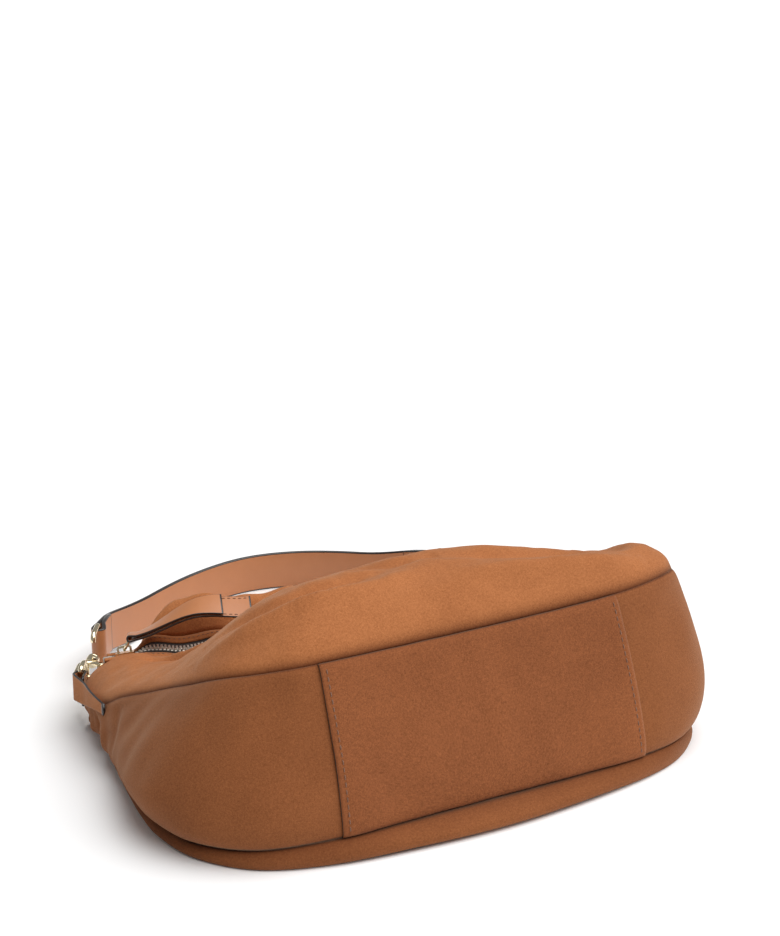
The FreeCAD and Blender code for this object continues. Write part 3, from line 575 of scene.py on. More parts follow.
def nap_group():
    """Short brushed fibres: a mottled colour and the height of the nap."""
    if "Nap" in bpy.data.node_groups:
        return bpy.data.node_groups["Nap"]
    group, start, end = socketed_group("Nap", [
        ("Light", "NodeSocketColor", (.6, .3, .15, 1)), ("Dark", "NodeSocketColor", (.4, .2, .1, 1)),
        ("Fibre", "NodeSocketFloat", 1500.0), ("Shade", "NodeSocketFloat", 14.0)],
        [("Color", "NodeSocketColor"), ("Height", "NodeSocketFloat")])
    link = group.links.new
    coords = node(group, "ShaderNodeTexCoord", (-900, -300))
    fibre = node(group, "ShaderNodeTexNoise", (-650, 200), Detail=3.0, Roughness=.7)
    mottle = node(group, "ShaderNodeTexNoise", (-650, 0), Detail=4.0, Roughness=.62)
    brushed = node(group, "ShaderNodeTexNoise", (-650, -250), Detail=4.0, Roughness=.55, Distortion=.6)
    link(coords.outputs["Object"], fibre.inputs["Vector"])
    link(coords.outputs["Object"], mottle.inputs["Vector"])
    link(coords.outputs["Object"], brushed.inputs["Vector"])
    link(start.outputs["Fibre"], fibre.inputs["Scale"])
    mottle.inputs["Scale"].default_value = 760.0
    link(start.outputs["Shade"], brushed.inputs["Scale"])
    small = node(group, "ShaderNodeMath", (-400, 120), operation="MULTIPLY")
    small.inputs[1].default_value = .55
    link(fibre.outputs["Fac"], small.inputs[0])
    medium = node(group, "ShaderNodeMath", (-400, -40), operation="MULTIPLY_ADD")
    medium.inputs[1].default_value = .45
    link(mottle.outputs["Fac"], medium.inputs[0])
    link(small.outputs[0], medium.inputs[2])
    large = spread_between(group, (-400, -250), (.3, .7), (-.16, .16))
    link(brushed.outputs["Fac"], large.inputs["Value"])
    spread = spread_between(group, (-200, 0), (.34, .66), (0, 1))
    link(medium.outputs[0], spread.inputs["Value"])
    total = node(group, "ShaderNodeMath", (0, 0), operation="ADD", use_clamp=True)
    link(spread.outputs["Result"], total.inputs[0])
    link(large.outputs["Result"], total.inputs[1])
    mix = node(group, "ShaderNodeMix", (250, 0), data_type="RGBA")
    link(total.outputs[0], mix.inputs["Factor"])
    link(start.outputs["Dark"], mix.inputs[6])
    link(start.outputs["Light"], mix.inputs[7])
    link(mix.outputs[2], end.inputs["Color"])
    link(medium.outputs[0], end.inputs["Height"])
    return group


def new_material(name, roughness, metallic=0.0):
    """A new material with its tree and its shader."""
    material = bpy.data.materials.new(name)
    material.use_nodes = True
    tree = material.node_tree
    shader = tree.nodes["Principled BSDF"]
    shader.inputs["Roughness"].default_value = roughness
    shader.inputs["Metallic"].default_value = metallic
    return material, tree, shader


def bumped(tree, shader, height, strength, distance):
    """Raise a surface by a height through the shader's normal."""
    bump = node(tree, "ShaderNodeBump", (-250, -350), Strength=strength, Distance=distance)
    tree.links.new(height, bump.inputs["Height"])
    tree.links.new(bump.outputs["Normal"], shader.inputs["Normal"])


def suede_material(name, light, dark, sheen=.22):
    """Napped suede with painted shade, darker where the attribute 'seam' rises: in the seams' grooves, over
    the gusset and over the roll.
    """
    material, tree, shader = new_material(name, .92)
    shader.inputs["Sheen Weight"].default_value = sheen
    shader.inputs["Sheen Roughness"].default_value = .45
    shader.inputs["Sheen Tint"].default_value = (1.0, .72, .50, 1)
    shader.inputs["Specular IOR Level"].default_value = .15
    nap = node(tree, "ShaderNodeGroup", (-700, 100))
    nap.node_tree = nap_group()
    nap.inputs["Light"].default_value = (*light, 1)
    nap.inputs["Dark"].default_value = (*dark, 1)
    # The attribute 'seam' holds painted shade: the mix below multiplies the nap's colour towards a dark brown
    # in the seams' grooves, over the gusset and over the roll under the base seam.
    seam = node(tree, "ShaderNodeAttribute", (-700, -150), attribute_name="seam")
    shade = node(tree, "ShaderNodeMix", (-300, 100), data_type="RGBA", blend_type="MULTIPLY")
    shade.inputs[7].default_value = (.30, .22, .18, 1)
    tree.links.new(nap.outputs["Color"], shade.inputs[6])
    tree.links.new(seam.outputs["Fac"], shade.inputs["Factor"])
    tree.links.new(shade.outputs[2], shader.inputs["Base Color"])
    bumped(tree, shader, nap.outputs["Height"], .55, .0006)
    return material


def grained_material(name, light, dark, roughness, grain, depth, coat=0.0):
    """Smooth leather or paint with a fine grain and uneven gloss."""
    material, tree, shader = new_material(name, roughness)
    shader.inputs["Coat Weight"].default_value = coat
    coords = node(tree, "ShaderNodeTexCoord", (-1000, 0))
    cells = node(tree, "ShaderNodeTexVoronoi", (-750, -200), Scale=grain)
    cloud = node(tree, "ShaderNodeTexNoise", (-750, 150), Scale=60.0, Detail=5.0, Roughness=.6)
    for texture in (cells, cloud):
        tree.links.new(coords.outputs["Object"], texture.inputs["Vector"])
    tone = two_tone(tree, (-350, 150), dark, light, cloud.outputs["Fac"])
    tree.links.new(tone, shader.inputs["Base Color"])
    gloss = spread_between(tree, (-350, -50), (0, 1), (roughness - .10, roughness + .10))
    tree.links.new(cloud.outputs["Fac"], gloss.inputs["Value"])
    tree.links.new(gloss.outputs["Result"], shader.inputs["Roughness"])
    bumped(tree, shader, cells.outputs["Distance"], .35, depth)
    return material


def metal_material(name, colour, worn, roughness):
    """Plated metal with faint smears in its polish."""
    material, tree, shader = new_material(name, roughness, 1.0)
    coords = node(tree, "ShaderNodeTexCoord", (-1000, 0))
    smear = node(tree, "ShaderNodeTexNoise", (-750, 0), Scale=180.0, Detail=4.0, Distortion=1.2)
    tree.links.new(coords.outputs["Object"], smear.inputs["Vector"])
    tone = two_tone(tree, (-350, 150), colour, worn, smear.outputs["Fac"])
    tree.links.new(tone, shader.inputs["Base Color"])
    gloss = spread_between(tree, (-350, -50), (0, 1), (max(roughness - .08, .04), roughness + .10))
    tree.links.new(smear.outputs["Fac"], gloss.inputs["Value"])
    tree.links.new(gloss.outputs["Result"], shader.inputs["Roughness"])
    bumped(tree, shader, smear.outputs["Fac"], .05, .0002)
    return material


def woven_material(name, light, dark, pitch, roughness=.85):
    """A plain weave: two crossed sets of threads."""
    material, tree, shader = new_material(name, roughness)
    shader.inputs["Sheen Weight"].default_value = .2
    coords = node(tree, "ShaderNodeTexCoord", (-1200, 0))
    threads = []
    for direction, place in (("X", 200), ("Y", -200)):
        wave = node(tree, "ShaderNodeTexWave", (-900, place), Scale=math.pi / (10 * pitch))
        wave.bands_direction = direction
        wave.inputs["Distortion"].default_value = .4
        wave.inputs["Detail Scale"].default_value = 4.0
        tree.links.new(coords.outputs["Object"], wave.inputs["Vector"])
        threads.append(wave)
    weave = node(tree, "ShaderNodeMath", (-600, 0), operation="MULTIPLY")
    for index, wave in enumerate(threads):
        tree.links.new(wave.outputs["Fac"], weave.inputs[index])
    tone = two_tone(tree, (-300, 150), dark, light, weave.outputs[0])
    tree.links.new(tone, shader.inputs["Base Color"])
    bumped(tree, shader, weave.outputs[0], .6, .0003)
    return material


MATERIALS = {}


def material(name):
    """The named finish, made when it is first asked for."""
    if name in MATERIALS:
        return MATERIALS[name]
    colours = bpy.context.scene.hobo_colours
    makers = {
        "suede": lambda: suede_material("suede", colours.suede_light, colours.suede_dark),
        # The patch's suede, in the suede's colours with painted shade, as on the gusset.
        "shaded_suede_patch": lambda: suede_material("shaded_suede_patch", colours.patch_shaded_light, colours.patch_shaded_dark, .16),
        "strap": lambda: grained_material("strap_leather", colours.strap_light, colours.strap_dark,
                                          .42, 1400.0, .00012),
        "paint": lambda: grained_material("edge_paint", (.020, .012, .010), (.010, .006, .005),
                                          .30, 700.0, .00008, .3),
        "thread": lambda: woven_material("thread", (.30, .15, .085), (.17, .080, .045), .0004),
        "gold": lambda: metal_material("gold", (.93, .82, .60), (.85, .72, .48), .16),
        "chain": lambda: metal_material("zip_chain", (.98, .94, .86), (.92, .86, .75), .42),
        "tape": lambda: woven_material("zip_tape", (.045, .026, .018), (.016, .010, .008), .0006),
        "lining": lambda: woven_material("lining", (.10, .075, .055), (.05, .038, .028), .0005),
        "board": lambda: grained_material("base_board", (.10, .095, .09), (.05, .048, .045),
                                          .8, 900.0, .0003),
    }
    MATERIALS[name] = makers[name]()
    return MATERIALS[name]


def dress_node(name, *finishes):
    """Give a CAD node that stays in view its finish, through its own material slots."""
    piece = frame["nodes"][name]
    for index, slot in enumerate(piece.material_slots):
        slot.material = material(finishes[min(index, len(finishes) - 1)])


# ---------------------------------------------------------------- properties


class HoboColours(bpy.types.PropertyGroup):
    suede_light: FloatVectorProperty(name="Suede, raised nap", description="Colour of the nap's tips",
                                     subtype="COLOR", size=3, default=(.47, .175, .062), min=0, max=1)
    suede_dark: FloatVectorProperty(name="Suede, pressed nap", description="Colour between the fibres",
                                    subtype="COLOR", size=3, default=(.27, .088, .028), min=0, max=1)
    # The patch's two colours are the suede's two colours with painted shade, as on the gusset.
    patch_shaded_light: FloatVectorProperty(name="Patch, raised nap", description="Colour of the patch's nap",
                                     subtype="COLOR", size=3, default=(.325, .108, .038), min=0, max=1)
    patch_shaded_dark: FloatVectorProperty(name="Patch, pressed nap", description="Colour between its fibres",
                                    subtype="COLOR", size=3, default=(.155, .047, .016), min=0, max=1)
    strap_light: FloatVectorProperty(name="Strap leather", description="Lighter colour of the strap",
                                     subtype="COLOR", size=3, default=(.50, .20, .080), min=0, max=1)
    strap_dark: FloatVectorProperty(name="Strap leather, dark", description="Darker colour of the strap",
                                    subtype="COLOR", size=3, default=(.42, .158, .058), min=0, max=1)


class HoboSizes(bpy.types.PropertyGroup):
    suede: FloatProperty(name="Suede", description="Thickness of the panels", subtype="DISTANCE",
                         unit="LENGTH", default=.0016, min=.0005, max=.004)
    patch: FloatProperty(name="Patch", description="Thickness of the base patch", subtype="DISTANCE",
                         unit="LENGTH", default=.0016, min=.0005, max=.004)
    strap: FloatProperty(name="Strap leather", description="Thickness of the strap", subtype="DISTANCE",
                         unit="LENGTH", default=.0031, min=.001, max=.006)
    stitch: FloatProperty(name="Stitch", description="Distance from stitch to stitch",
                          subtype="DISTANCE", unit="LENGTH", default=.0047, min=.002, max=.01)
    tooth: FloatProperty(name="Zip tooth", description="Distance from tooth to tooth on one side",
                         subtype="DISTANCE", unit="LENGTH", default=.0026, min=.001, max=.006)


# ---------------------------------------------------------------- the soft shell


# Darkening on the gusset, and on the roll under the base seam, which the lights leave too bright,
# and how far the roll's darkening reaches.
GUSSET_SHADE, ROLL_SHADE, ROLL_REACH = .54, .80, .05


def painted_seam_shade(near, reach=.0016):
    """The painted shade in a turned seam's groove, at a distance from its seam."""
    return np.exp(-(near / reach) ** 1.5)


class HOBO_OT_shell(bpy.types.Operator):
    """Model the front panel, the gusset and the back panel, with their turned seams and folds"""
    bl_idname = "hobo.shell"
    bl_label = "Shell"

    def execute(self, context):
        thickness = context.scene.hobo_sizes.suede
        for name, (grid, near), flip in (("front_panel", front_grid(), False),
                                         ("gusset", gusset_grid(), False),
                                         ("back_panel", back_grid(), True)):
            piece = grid_piece(name + "_suede", grid, flip)
            # Painted shade for the attribute 'seam': the whole gusset and the roll under the base seam darker,
            # and with it the painted shade in each turned seam's groove.
            shade = GUSSET_SHADE if name == "gusset" else 0
            if name == "back_panel":
                shade = ROLL_SHADE * np.clip(1 - near / ROLL_REACH, 0, 1)
            mark(piece, "seam", np.maximum(painted_seam_shade(near), shade))
            piece.data.materials.append(material("suede"))
            thicken(piece, thickness)
            lay_flat(piece, 0)
            finish_piece(piece, "bag", (), (name,))
        return {"FINISHED"}


class HOBO_OT_lining(bpy.types.Operator):
    """Model the lining behind the shell and dress the stiff board in the base"""
    bl_idname = "hobo.lining"
    bl_label = "Lining"

    def execute(self, context):
        depth = context.scene.hobo_sizes.suede + .0014
        for name, (grid, _), flip in (("lining_front", front_grid(50), False),
                                      ("lining_gusset", gusset_grid(24), False),
                                      ("lining_back", back_grid(40), True)):
            piece = grid_piece(name + "_cloth", inset(grid, depth, flip)[2:-3, 2:-2:2], flip)
            thicken(piece, .0005)
            lay_flat(piece, depth)
            finish_piece(piece, "bag", (material("lining"),), (name,))
        dress_node("base_board", "board")
        return {"FINISHED"}


class HOBO_OT_patch(bpy.types.Operator):
    """Lay the suede patch over the base, with its painted edges and a row of stitches at each end"""
    bl_idname = "hobo.patch"
    bl_label = "Base patch"

    def execute(self, context):
        sizes = context.scene.hobo_sizes
        low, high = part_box("base_patch")
        grid, _ = gusset_grid()
        middle = grid[len(grid) // 2]
        base = middle[:, 1] < .075
        inside = np.where(base & (middle[:, 0] > low[0]) & (middle[:, 0] < high[0]))[0]
        area = grid[:, inside[0]:inside[-1] + 1]
        along = np.gradient(area, axis=1)
        out = unit(np.cross(along, np.gradient(area, axis=0)))
        v = np.linspace(0, 1, len(area))[:, None]
        u = np.linspace(0, 1, area.shape[1])[None, :]
        puff = .0006 * np.clip(np.minimum(u, 1 - u) / .03, 0, 1) * np.clip(np.minimum(v, 1 - v) / .05, 0, 1)
        puff = puff + .0005 * ripple(area[:, :, 0], area[:, :, 2], 31, .05)
        lift = sizes.patch * np.clip(np.minimum(v, 1 - v) / .02, .15, 1) + puff
        sheet = area + out * lift[:, :, None]
        piece = grid_piece("base_patch_suede", sheet)
        # Painted shade along the patch's long edges, where they turn into the seams.
        flat = np.broadcast_to(np.minimum(v, 1 - v) * .108, sheet.shape[:2])
        mark(piece, "seam", painted_seam_shade(flat))
        piece.data.materials.append(material("shaded_suede_patch"))
        piece.data.materials.append(material("paint"))
        thicken(piece, sizes.patch * 1.05, rim_slot=1)
        finish_piece(piece, "bag", (), ("base_patch",))
        rows = []
        step = max(1, int(round(.0038 / np.linalg.norm(area[20, 1] - area[20, 0]))))
        for column in (step, area.shape[1] - 1 - step):
            rows.append((sheet[2:-2, column], out[2:-2, column]))
        thread = stitches("base_patch_stitches", rows, pitch=sizes.stitch)
        finish_piece(thread, "bag", (material("thread"),))
        return {"FINISHED"}


# ---------------------------------------------------------------- the mouth


def zip_band(name, near, far, thickness, rise, half_x, count=260, across=7, crown=0.0):
    """A flat band that follows the zip between two distances from its middle line."""
    x = np.linspace(-half_x, half_x, count)
    rows = [on_zip(x, near + (far - near) * share, rise + crown * math.sin(math.pi * share))
            for share in np.linspace(0, 1, across)]
    piece = grid_piece(name, np.array(rows), flip=far > near)
    thicken(piece, thickness, 0)
    return piece


def zip_tooth(side):
    """One tooth of the chain: a block clamped on the tape, drawn out to a narrower head."""
    bpy.ops.object.select_all(action="DESELECT")
    bpy.ops.mesh.primitive_cube_add(size=1, scale=(.00164, .0022, .0030), location=(0, side * .0023, .0001))
    bpy.ops.object.transform_apply(location=True, rotation=True, scale=True)
    tooth = bpy.context.active_object
    bpy.ops.object.mode_set(mode="EDIT")
    bpy.ops.mesh.select_mode(type="FACE")
    bpy.ops.mesh.select_all(action="DESELECT")
    bpy.ops.object.mode_set(mode="OBJECT")
    for face in tooth.data.polygons:
        face.select = face.normal.y * side < -.5
    bpy.ops.object.mode_set(mode="EDIT")
    for reach, narrower in ((.0005, .62), (.0012, 1.0), (.0003, .55)):
        bpy.ops.mesh.extrude_region_move(TRANSFORM_OT_translate={"value": (0, -side * reach, 0)})
        bpy.ops.transform.resize(value=(narrower, 1, .94))
    bpy.ops.mesh.select_all(action="SELECT")
    bpy.ops.mesh.bevel(offset=.00022, segments=1)
    end_edit(tooth, "tooth")
    points = np.array([corner.co for corner in tooth.data.vertices])
    faces = [tuple(face.vertices) for face in tooth.data.polygons]
    bpy.data.objects.remove(tooth)
    return points, faces


def chain_side(name, side, pitch):
    """All the teeth on one side of the zip, each turned to follow the arc."""
    shape, tooth_faces = zip_tooth(side)
    end = math.asin(TEETH_X / ZIP_RADIUS)
    turn = pitch / ZIP_RADIUS
    points, faces = [], []
    for angle in np.arange(-end, end, turn) + (turn / 2 if side > 0 else 0):
        foot, along, across, up = zip_frame(ZIP_RADIUS * math.sin(angle))
        faces += [tuple(k + len(points) for k in face) for face in tooth_faces]
        points += list(foot + shape[:, :1] * along + shape[:, 1:2] * across + shape[:, 2:] * up)
    return mesh_piece(name, points, faces, smooth_faces=False)


def mouth_floor():
    """The cloth that closes the mouth under the zip, from lip to lip and down to the ears."""
    front, back = lip_line(True), lip_line(False)
    share = np.linspace(0, 1, 14)[:, None, None]
    grid = front + (back - front) * share
    sink = .0030 * np.sin(math.pi * share[:, :, 0]) ** .5 + .0006
    return grid - ZIP_UP * sink[:, :, None]


class HOBO_OT_zip(bpy.types.Operator):
    """Model the zip's tapes, facings and chain, and dress its stops, slider and pull ring"""
    bl_idname = "hobo.zip"
    bl_label = "Zip"

    def execute(self, context):
        pitch = context.scene.hobo_sizes.tooth
        reach = TAPE_X - .016
        for name, side in (("front", 1), ("back", -1)):
            tape = zip_band("zip_tape_%s_woven" % name, side * .0016, side * TAPE_OFFSET, .0006, 0, reach)
            cord = zip_band("zip_tape_%s_bead" % name, side * .0030, side * .0046, .0010, .0002, TEETH_X,
                            crown=.0003)
            tape = joined(tape.name, [tape, cord])
            finish_piece(tape, "bag", (material("tape"),), ("zip_tape_" + name,))
            facing = zip_band("zip_facing_%s_suede" % name, side * .0072, side * LIP_OFFSET, .0012, .0011,
                              reach, across=9, crown=.0009)
            finish_piece(facing, "bag", (material("suede"),), ("zip_facing_" + name,))
            teeth = chain_side("zip_chain_" + name, side, pitch)
            finish_piece(teeth, "bag", (material("chain"),), ("zip_teeth_" + name,))
        floor = grid_piece("mouth_closure", mouth_floor()[:, ::2])
        thicken(floor, .0006)
        finish_piece(floor, "bag", (material("tape"),))
        for name in ("zip_top_stop", "zip_bottom_stop"):
            dress_node(name, "chain")
        for name in ("zip_slider", "zip_pull_ring"):
            dress_node(name, "gold")
        rows = []
        for offset in (.0102, -.0102):
            x = np.linspace(-reach + .004, reach - .004, 300)
            path = on_zip(x, offset, .0025)
            rows.append((path, np.broadcast_to(ZIP_UP, path.shape)))
        thread = stitches("zip_facing_stitches", rows, .0026, .0003, .0034)
        finish_piece(thread, "bag", (material("thread"),))
        return {"FINISHED"}


class HOBO_OT_pull_tab(bpy.types.Operator):
    """Fold the zip's leather pull round its ring, with painted edges and two stepped ends"""
    bl_idname = "hobo.pull_tab"
    bl_label = "Zip pull"

    def execute(self, context):
        fold = np.array(JOINTS["pull_tab_swing"]["pos_m"])
        fold_axis = unit(-np.array(JOINTS["pull_tab_swing"]["axis"]))
        slide = unit(np.cross(fold_axis, ZIP_UP))
        droop = math.radians(2)
        run = slide * math.cos(droop) - ZIP_UP * math.sin(droop)
        lift = np.cross(run, fold_axis)
        leather, hole = .0015, .0013
        radius = hole + leather / 2
        lower, upper = .086, .066
        path = [(lower, -radius * .62)]
        path += [(along, -radius * .62) for along in np.linspace(lower - .0012, .004, 40)]
        path += [(-radius * math.sin(a), -radius * math.cos(a)) for a in np.linspace(0, math.pi, 14)[1:-1]]
        path += [(along, radius * .62) for along in np.linspace(.004, upper - .0012, 32)]
        path += [(upper, radius * .62)]
        path = np.array(path)
        twist = math.radians(40) * smooth(path[:, 0] / .075)
        climb = .015 * smooth(path[:, 0] / .052) - .003 * smooth((path[:, 0] - .055) / .03)
        centre = fold + np.outer(path[:, 0], run)
        local = path[:, 1:]
        side = fold_axis * np.cos(twist)[:, None] + lift * np.sin(twist)[:, None]
        rise = lift * np.cos(twist)[:, None] - fold_axis * np.sin(twist)[:, None]
        points = centre + rise * local + lift * climb[:, None]
        along = unit(np.gradient(points, axis=0))
        normal = unit(np.cross(along, side))
        profile = strip_profile(leather, .0196, leather * .32)
        strip = swept("zip_pull_tab_leather", points, profile, normal, side)
        strip.data.materials.append(material("strap"))
        strip.data.materials.append(material("paint"))
        paint_edges(strip, len(profile))
        finish_piece(strip, "pull_tab", (), ("zip_pull_tab",))
        rows = []
        top = slice(len(points) - 30, len(points) - 1)
        for edge in (-.0078, .0078):
            rows.append((points[top] + side[top] * edge + normal[top] * -leather * .5, -normal[top]))
        low = slice(1, 38)
        for edge in (-.0078, .0078):
            rows.append((points[low] + side[low] * edge - normal[low] * leather * .5, -normal[low]))
        thread = stitches("zip_pull_tab_stitches", rows, .0028, .00032, .0038)
        finish_piece(thread, "pull_tab", (material("thread"),))
        return {"FINISHED"}


def paint_edges(piece, around, margins=True, steps=4):
    """Paint a swept strip's narrow edges and cut ends, and the faces' last narrow bands."""
    corner = steps + 1
    painted = set()
    for quarter in (0, 2):
        painted.update(k % around for k in range(quarter * corner, quarter * corner + 2 * corner - 1))
    polygons = piece.data.polygons
    count = len(polygons)
    bands = (count - 2) // around
    for index, polygon in enumerate(polygons):
        band = index // around
        if index >= count - 2 or index % around in painted or (margins and band in (0, bands - 1)):
            polygon.material_index = 1


# ---------------------------------------------------------------- ears, fittings and strap


class HOBO_OT_ears(bpy.types.Operator):
    """Fold a leather tab round each ring's bar and lay it down on its ear"""
    bl_idname = "hobo.ears"
    bl_label = "Ear tabs"

    def execute(self, context):
        for side, hand in (("left", -1), ("right", 1)):
            foot, along = EARS[side]
            low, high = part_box("ear_tab_" + side)
            half = (high[2] - low[2]) / 2
            leather, hole = .0017, .0023
            radius = hole + leather / 2
            outward = across_of(side) * hand
            turn = [foot + radius * (math.cos(a) * outward + math.sin(a) * along)
                    for a in np.linspace(math.pi, 0, 18)]
            inner = [foot - radius * outward - along * reach for reach in (.012, .008, .004)]
            skin = [turn[-1] - along * .006 + outward * .0004]
            skin += [placed(x * hand, y, 0) * [1, 1, 0] + UP * foot[2]
                     for x, y in ((.1815, .243), (.1850, .226), (.1875, .208), (.1885, .192))]
            outer = curve_through([turn[-1]] + skin, np.linspace(.1, len(skin), 30))
            path = np.array(inner + turn + list(outer))
            share = np.clip((np.arange(len(path)) - len(inner) - len(turn)) / 30, 0, 1)
            tangent = unit(np.gradient(path, axis=0))
            normal = unit(np.cross(tangent, UP))
            profile = np.array(strip_profile(leather, 2 * half, leather * .3))
            narrow = 1 - .62 * smooth(share)
            lift = .0145 * smooth(share)
            points = (path[:, None] + normal[:, None] * profile[None, :, :1]
                      + UP * (profile[None, :, 1] * narrow[:, None] + lift[:, None])[:, :, None])
            count, around = points.shape[:2]
            faces = grid_faces(count, around, closed=True)
            faces += [tuple(range(around))[::-1], tuple((count - 1) * around + k for k in range(around))]
            tab = mesh_piece("ear_tab_%s_leather" % side, points.reshape(-1, 3), faces)
            tab.data.materials.append(material("suede"))
            tab.data.materials.append(material("paint"))
            paint_edges(tab, around)
            finish_piece(tab, "bag", (), ("ear_tab_" + side,))
        return {"FINISHED"}


def add_circle(place, ahead, radius, around, fill):
    """A circle square to a direction, selected and open for editing."""
    bpy.ops.object.select_all(action="DESELECT")
    bpy.ops.mesh.primitive_circle_add(vertices=around, radius=radius, fill_type=fill, location=place,
                                      rotation=ahead.to_track_quat("Z", "Y").to_euler())
    bpy.ops.object.transform_apply(location=True, rotation=True, scale=True)
    bpy.ops.object.mode_set(mode="EDIT")
    bpy.ops.mesh.select_all(action="SELECT")
    return bpy.context.active_object


def end_edit(piece, name, sharp=40):
    """Turn every face outwards, leave edit mode and shade by angle."""
    bpy.ops.mesh.select_all(action="SELECT")
    bpy.ops.mesh.normals_make_consistent(inside=False)
    bpy.ops.object.mode_set(mode="OBJECT")
    bpy.ops.object.shade_smooth_by_angle(angle=math.radians(sharp))
    piece.name = piece.data.name = name
    return piece


def bent_wire(name, start, ahead, radius, moves, closed=False, around=14):
    """A round wire: a circle drawn out along its straight runs and spun round its bends.

    A run is its length; a bend is its angle, the radius it is bent to and the axis it turns about.
    """
    place, ahead = Vector(start), Vector(ahead).normalized()
    wire = add_circle(place, ahead, radius, around, "NOTHING")
    for move in moves:
        if isinstance(move, tuple):
            angle, bend, axis = move[0], move[1], Vector(move[2]).normalized()
            centre = place + axis.cross(ahead) * bend
            bpy.ops.mesh.spin(steps=max(2, round(angle / .17)), angle=-angle, center=centre, axis=axis)
            turn = Quaternion(axis, angle)
            place, ahead = centre + turn @ (place - centre), turn @ ahead
        else:
            bpy.ops.mesh.extrude_region_move(TRANSFORM_OT_translate={"value": ahead * move})
            place = place + ahead * move
    bpy.ops.mesh.select_all(action="SELECT")
    if closed:
        bpy.ops.mesh.remove_doubles(threshold=.00002)
    else:
        bpy.ops.mesh.fill_holes(sides=0)
    return end_edit(wire, name, 60)


def turned(name, foot, axis, rings, around=24):
    """A turned piece: a disc drawn out along its axis and scaled at each step.

    Each ring is its distance along the axis and its radius.
    """
    foot, axis = Vector(foot), Vector(axis).normalized()
    piece = add_circle(foot + axis * rings[0][0], axis, rings[0][1], around, "NGON")
    for (before, small), (after, large) in zip(rings, rings[1:]):
        bpy.ops.mesh.extrude_region_move(TRANSFORM_OT_translate={"value": axis * (after - before)})
        bpy.ops.transform.resize(value=(large / small,) * 3, center_override=foot + axis * after)
    return end_edit(piece, name)


class HOBO_OT_fittings(bpy.types.Operator):
    """Model each end's ring, swivel hook, gate and eye in plated metal, and dress the gate's pin in it"""
    bl_idname = "hobo.fittings"
    bl_label = "Rings and hooks"

    def execute(self, context):
        for side in ("left", "right"):
            foot, along = EARS[side]
            across = across_of(side)
            self.ring(side, foot, along)
            self.hook(side, foot, along, across)
            self.eye(side, foot, along, across)
        return {"FINISHED"}

    def ring(self, side, foot, along):
        low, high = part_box("d_ring_" + side)
        wire, corner, depth = .002, .0025, .0205
        half = (high[2] - low[2]) / 2 - wire
        bend = np.cross(UP, along)
        reach = depth - half - corner
        piece = bent_wire("d_ring_%s_wire" % side, foot - UP * (half - corner), UP, wire,
                          [2 * (half - corner), (math.pi / 2, corner, bend), reach, (math.pi, half, bend),
                           reach, (math.pi / 2, corner, bend)], closed=True)
        finish_piece(piece, "ring_" + side, (material("gold"),), ("d_ring_" + side,))

    def hook(self, side, foot, along, across):
        right, near, far, corner = .0075, .0132, .0380, .0068
        pivot, tip, lip = .0340, .0176, .0044
        bend = np.cross(along, across)
        quarter = (math.pi / 2, corner, bend)
        wire = bent_wire("wire", foot + across * right + along * tip, -along, .00215,
                         [(math.pi / 2, lip, bend), 2 * right - lip - corner, quarter, far - near - 2 * corner,
                          quarter, 2 * right - 2 * corner, quarter, far - corner - (pivot - .0030)])
        barrel = turned("barrel", foot, along, [
            (.0385, .0030), (.0392, .0044), (.0402, .0047), (.0430, .0047), (.0434, .0043),
            (.0438, .0047), (.0447, .0047), (.0452, .0040)])
        knuckle = turned("knuckle", foot + across * right + along * pivot - UP * .0023, UP,
                         [(0, .0014), (.0004, .0021), (.0042, .0021), (.0046, .0014)], 18)
        piece = joined("hook_body_%s_metal" % side, [wire, barrel, knuckle])
        finish_piece(piece, "hook_" + side, (material("gold"),), ("hook_body_" + side,))
        dress_node("hook_gate_pin_" + side, "gold")
        bar = turned("bar", foot + across * right + along * (tip + .0006), along,
                     [(0, .0011), (.0003, .0015), (.0128, .0015), (.0134, .0011)], 16)
        thumb = turned("thumb", foot + across * (right + .0008) + along * (pivot - .0075), across,
                       [(0, .0011), (.0020, .0011), (.0024, .0016), (.0030, .0016), (.0033, .0010)], 14)
        gate = joined("hook_gate_%s_metal" % side, [bar, thumb])
        finish_piece(gate, "gate_" + side, (material("gold"),), ("hook_gate_" + side,))

    def eye(self, side, foot, along, across):
        near, half, corner = .0473, .0175, .0050
        quarter = (math.pi / 2, corner, np.cross(UP, along))
        runs = (2 * (half - corner), EYE_BAR - near - 2 * corner)
        frame_bar = bent_wire("frame", foot + along * near - UP * (half - corner), UP, .0019,
                              [runs[0], quarter, runs[1], quarter] * 2, closed=True)
        stem = turned("stem", foot, along, [(.0395, .0012), (.0400, .0017), (.0455, .0017), (.0457, .0034),
                                            (.0466, .0038), (.0478, .0034), (.0486, .0018)])
        piece = joined("hook_eye_%s_metal" % side, [frame_bar, stem])
        finish_piece(piece, "strap", (material("gold"),), ("hook_eye_" + side,))


# Where the strap's middle line passes on the floor, from its left end to its right end.
STRAP_ROUTE = [(-.109, .361), (-.065, .391), (-.017, .415), (.030, .426), (.072, .418), (.111, .395),
               (.143, .364)]
# The eye's far bar, from the ear, and where the strap comes up off the floor towards the eyes.
EYE_BAR = .0693
STRAP_LIFT_NEAR, STRAP_LIFT_FAR = .330, .392
STRAP_STITCH_EDGE = .0115


def strap_height(y, raised):
    """How high the strap's lower edge stands at a distance from the base."""
    share = np.clip((STRAP_LIFT_FAR - np.asarray(y)) / (STRAP_LIFT_FAR - STRAP_LIFT_NEAR), 0, 1)
    return raised * smooth(share)


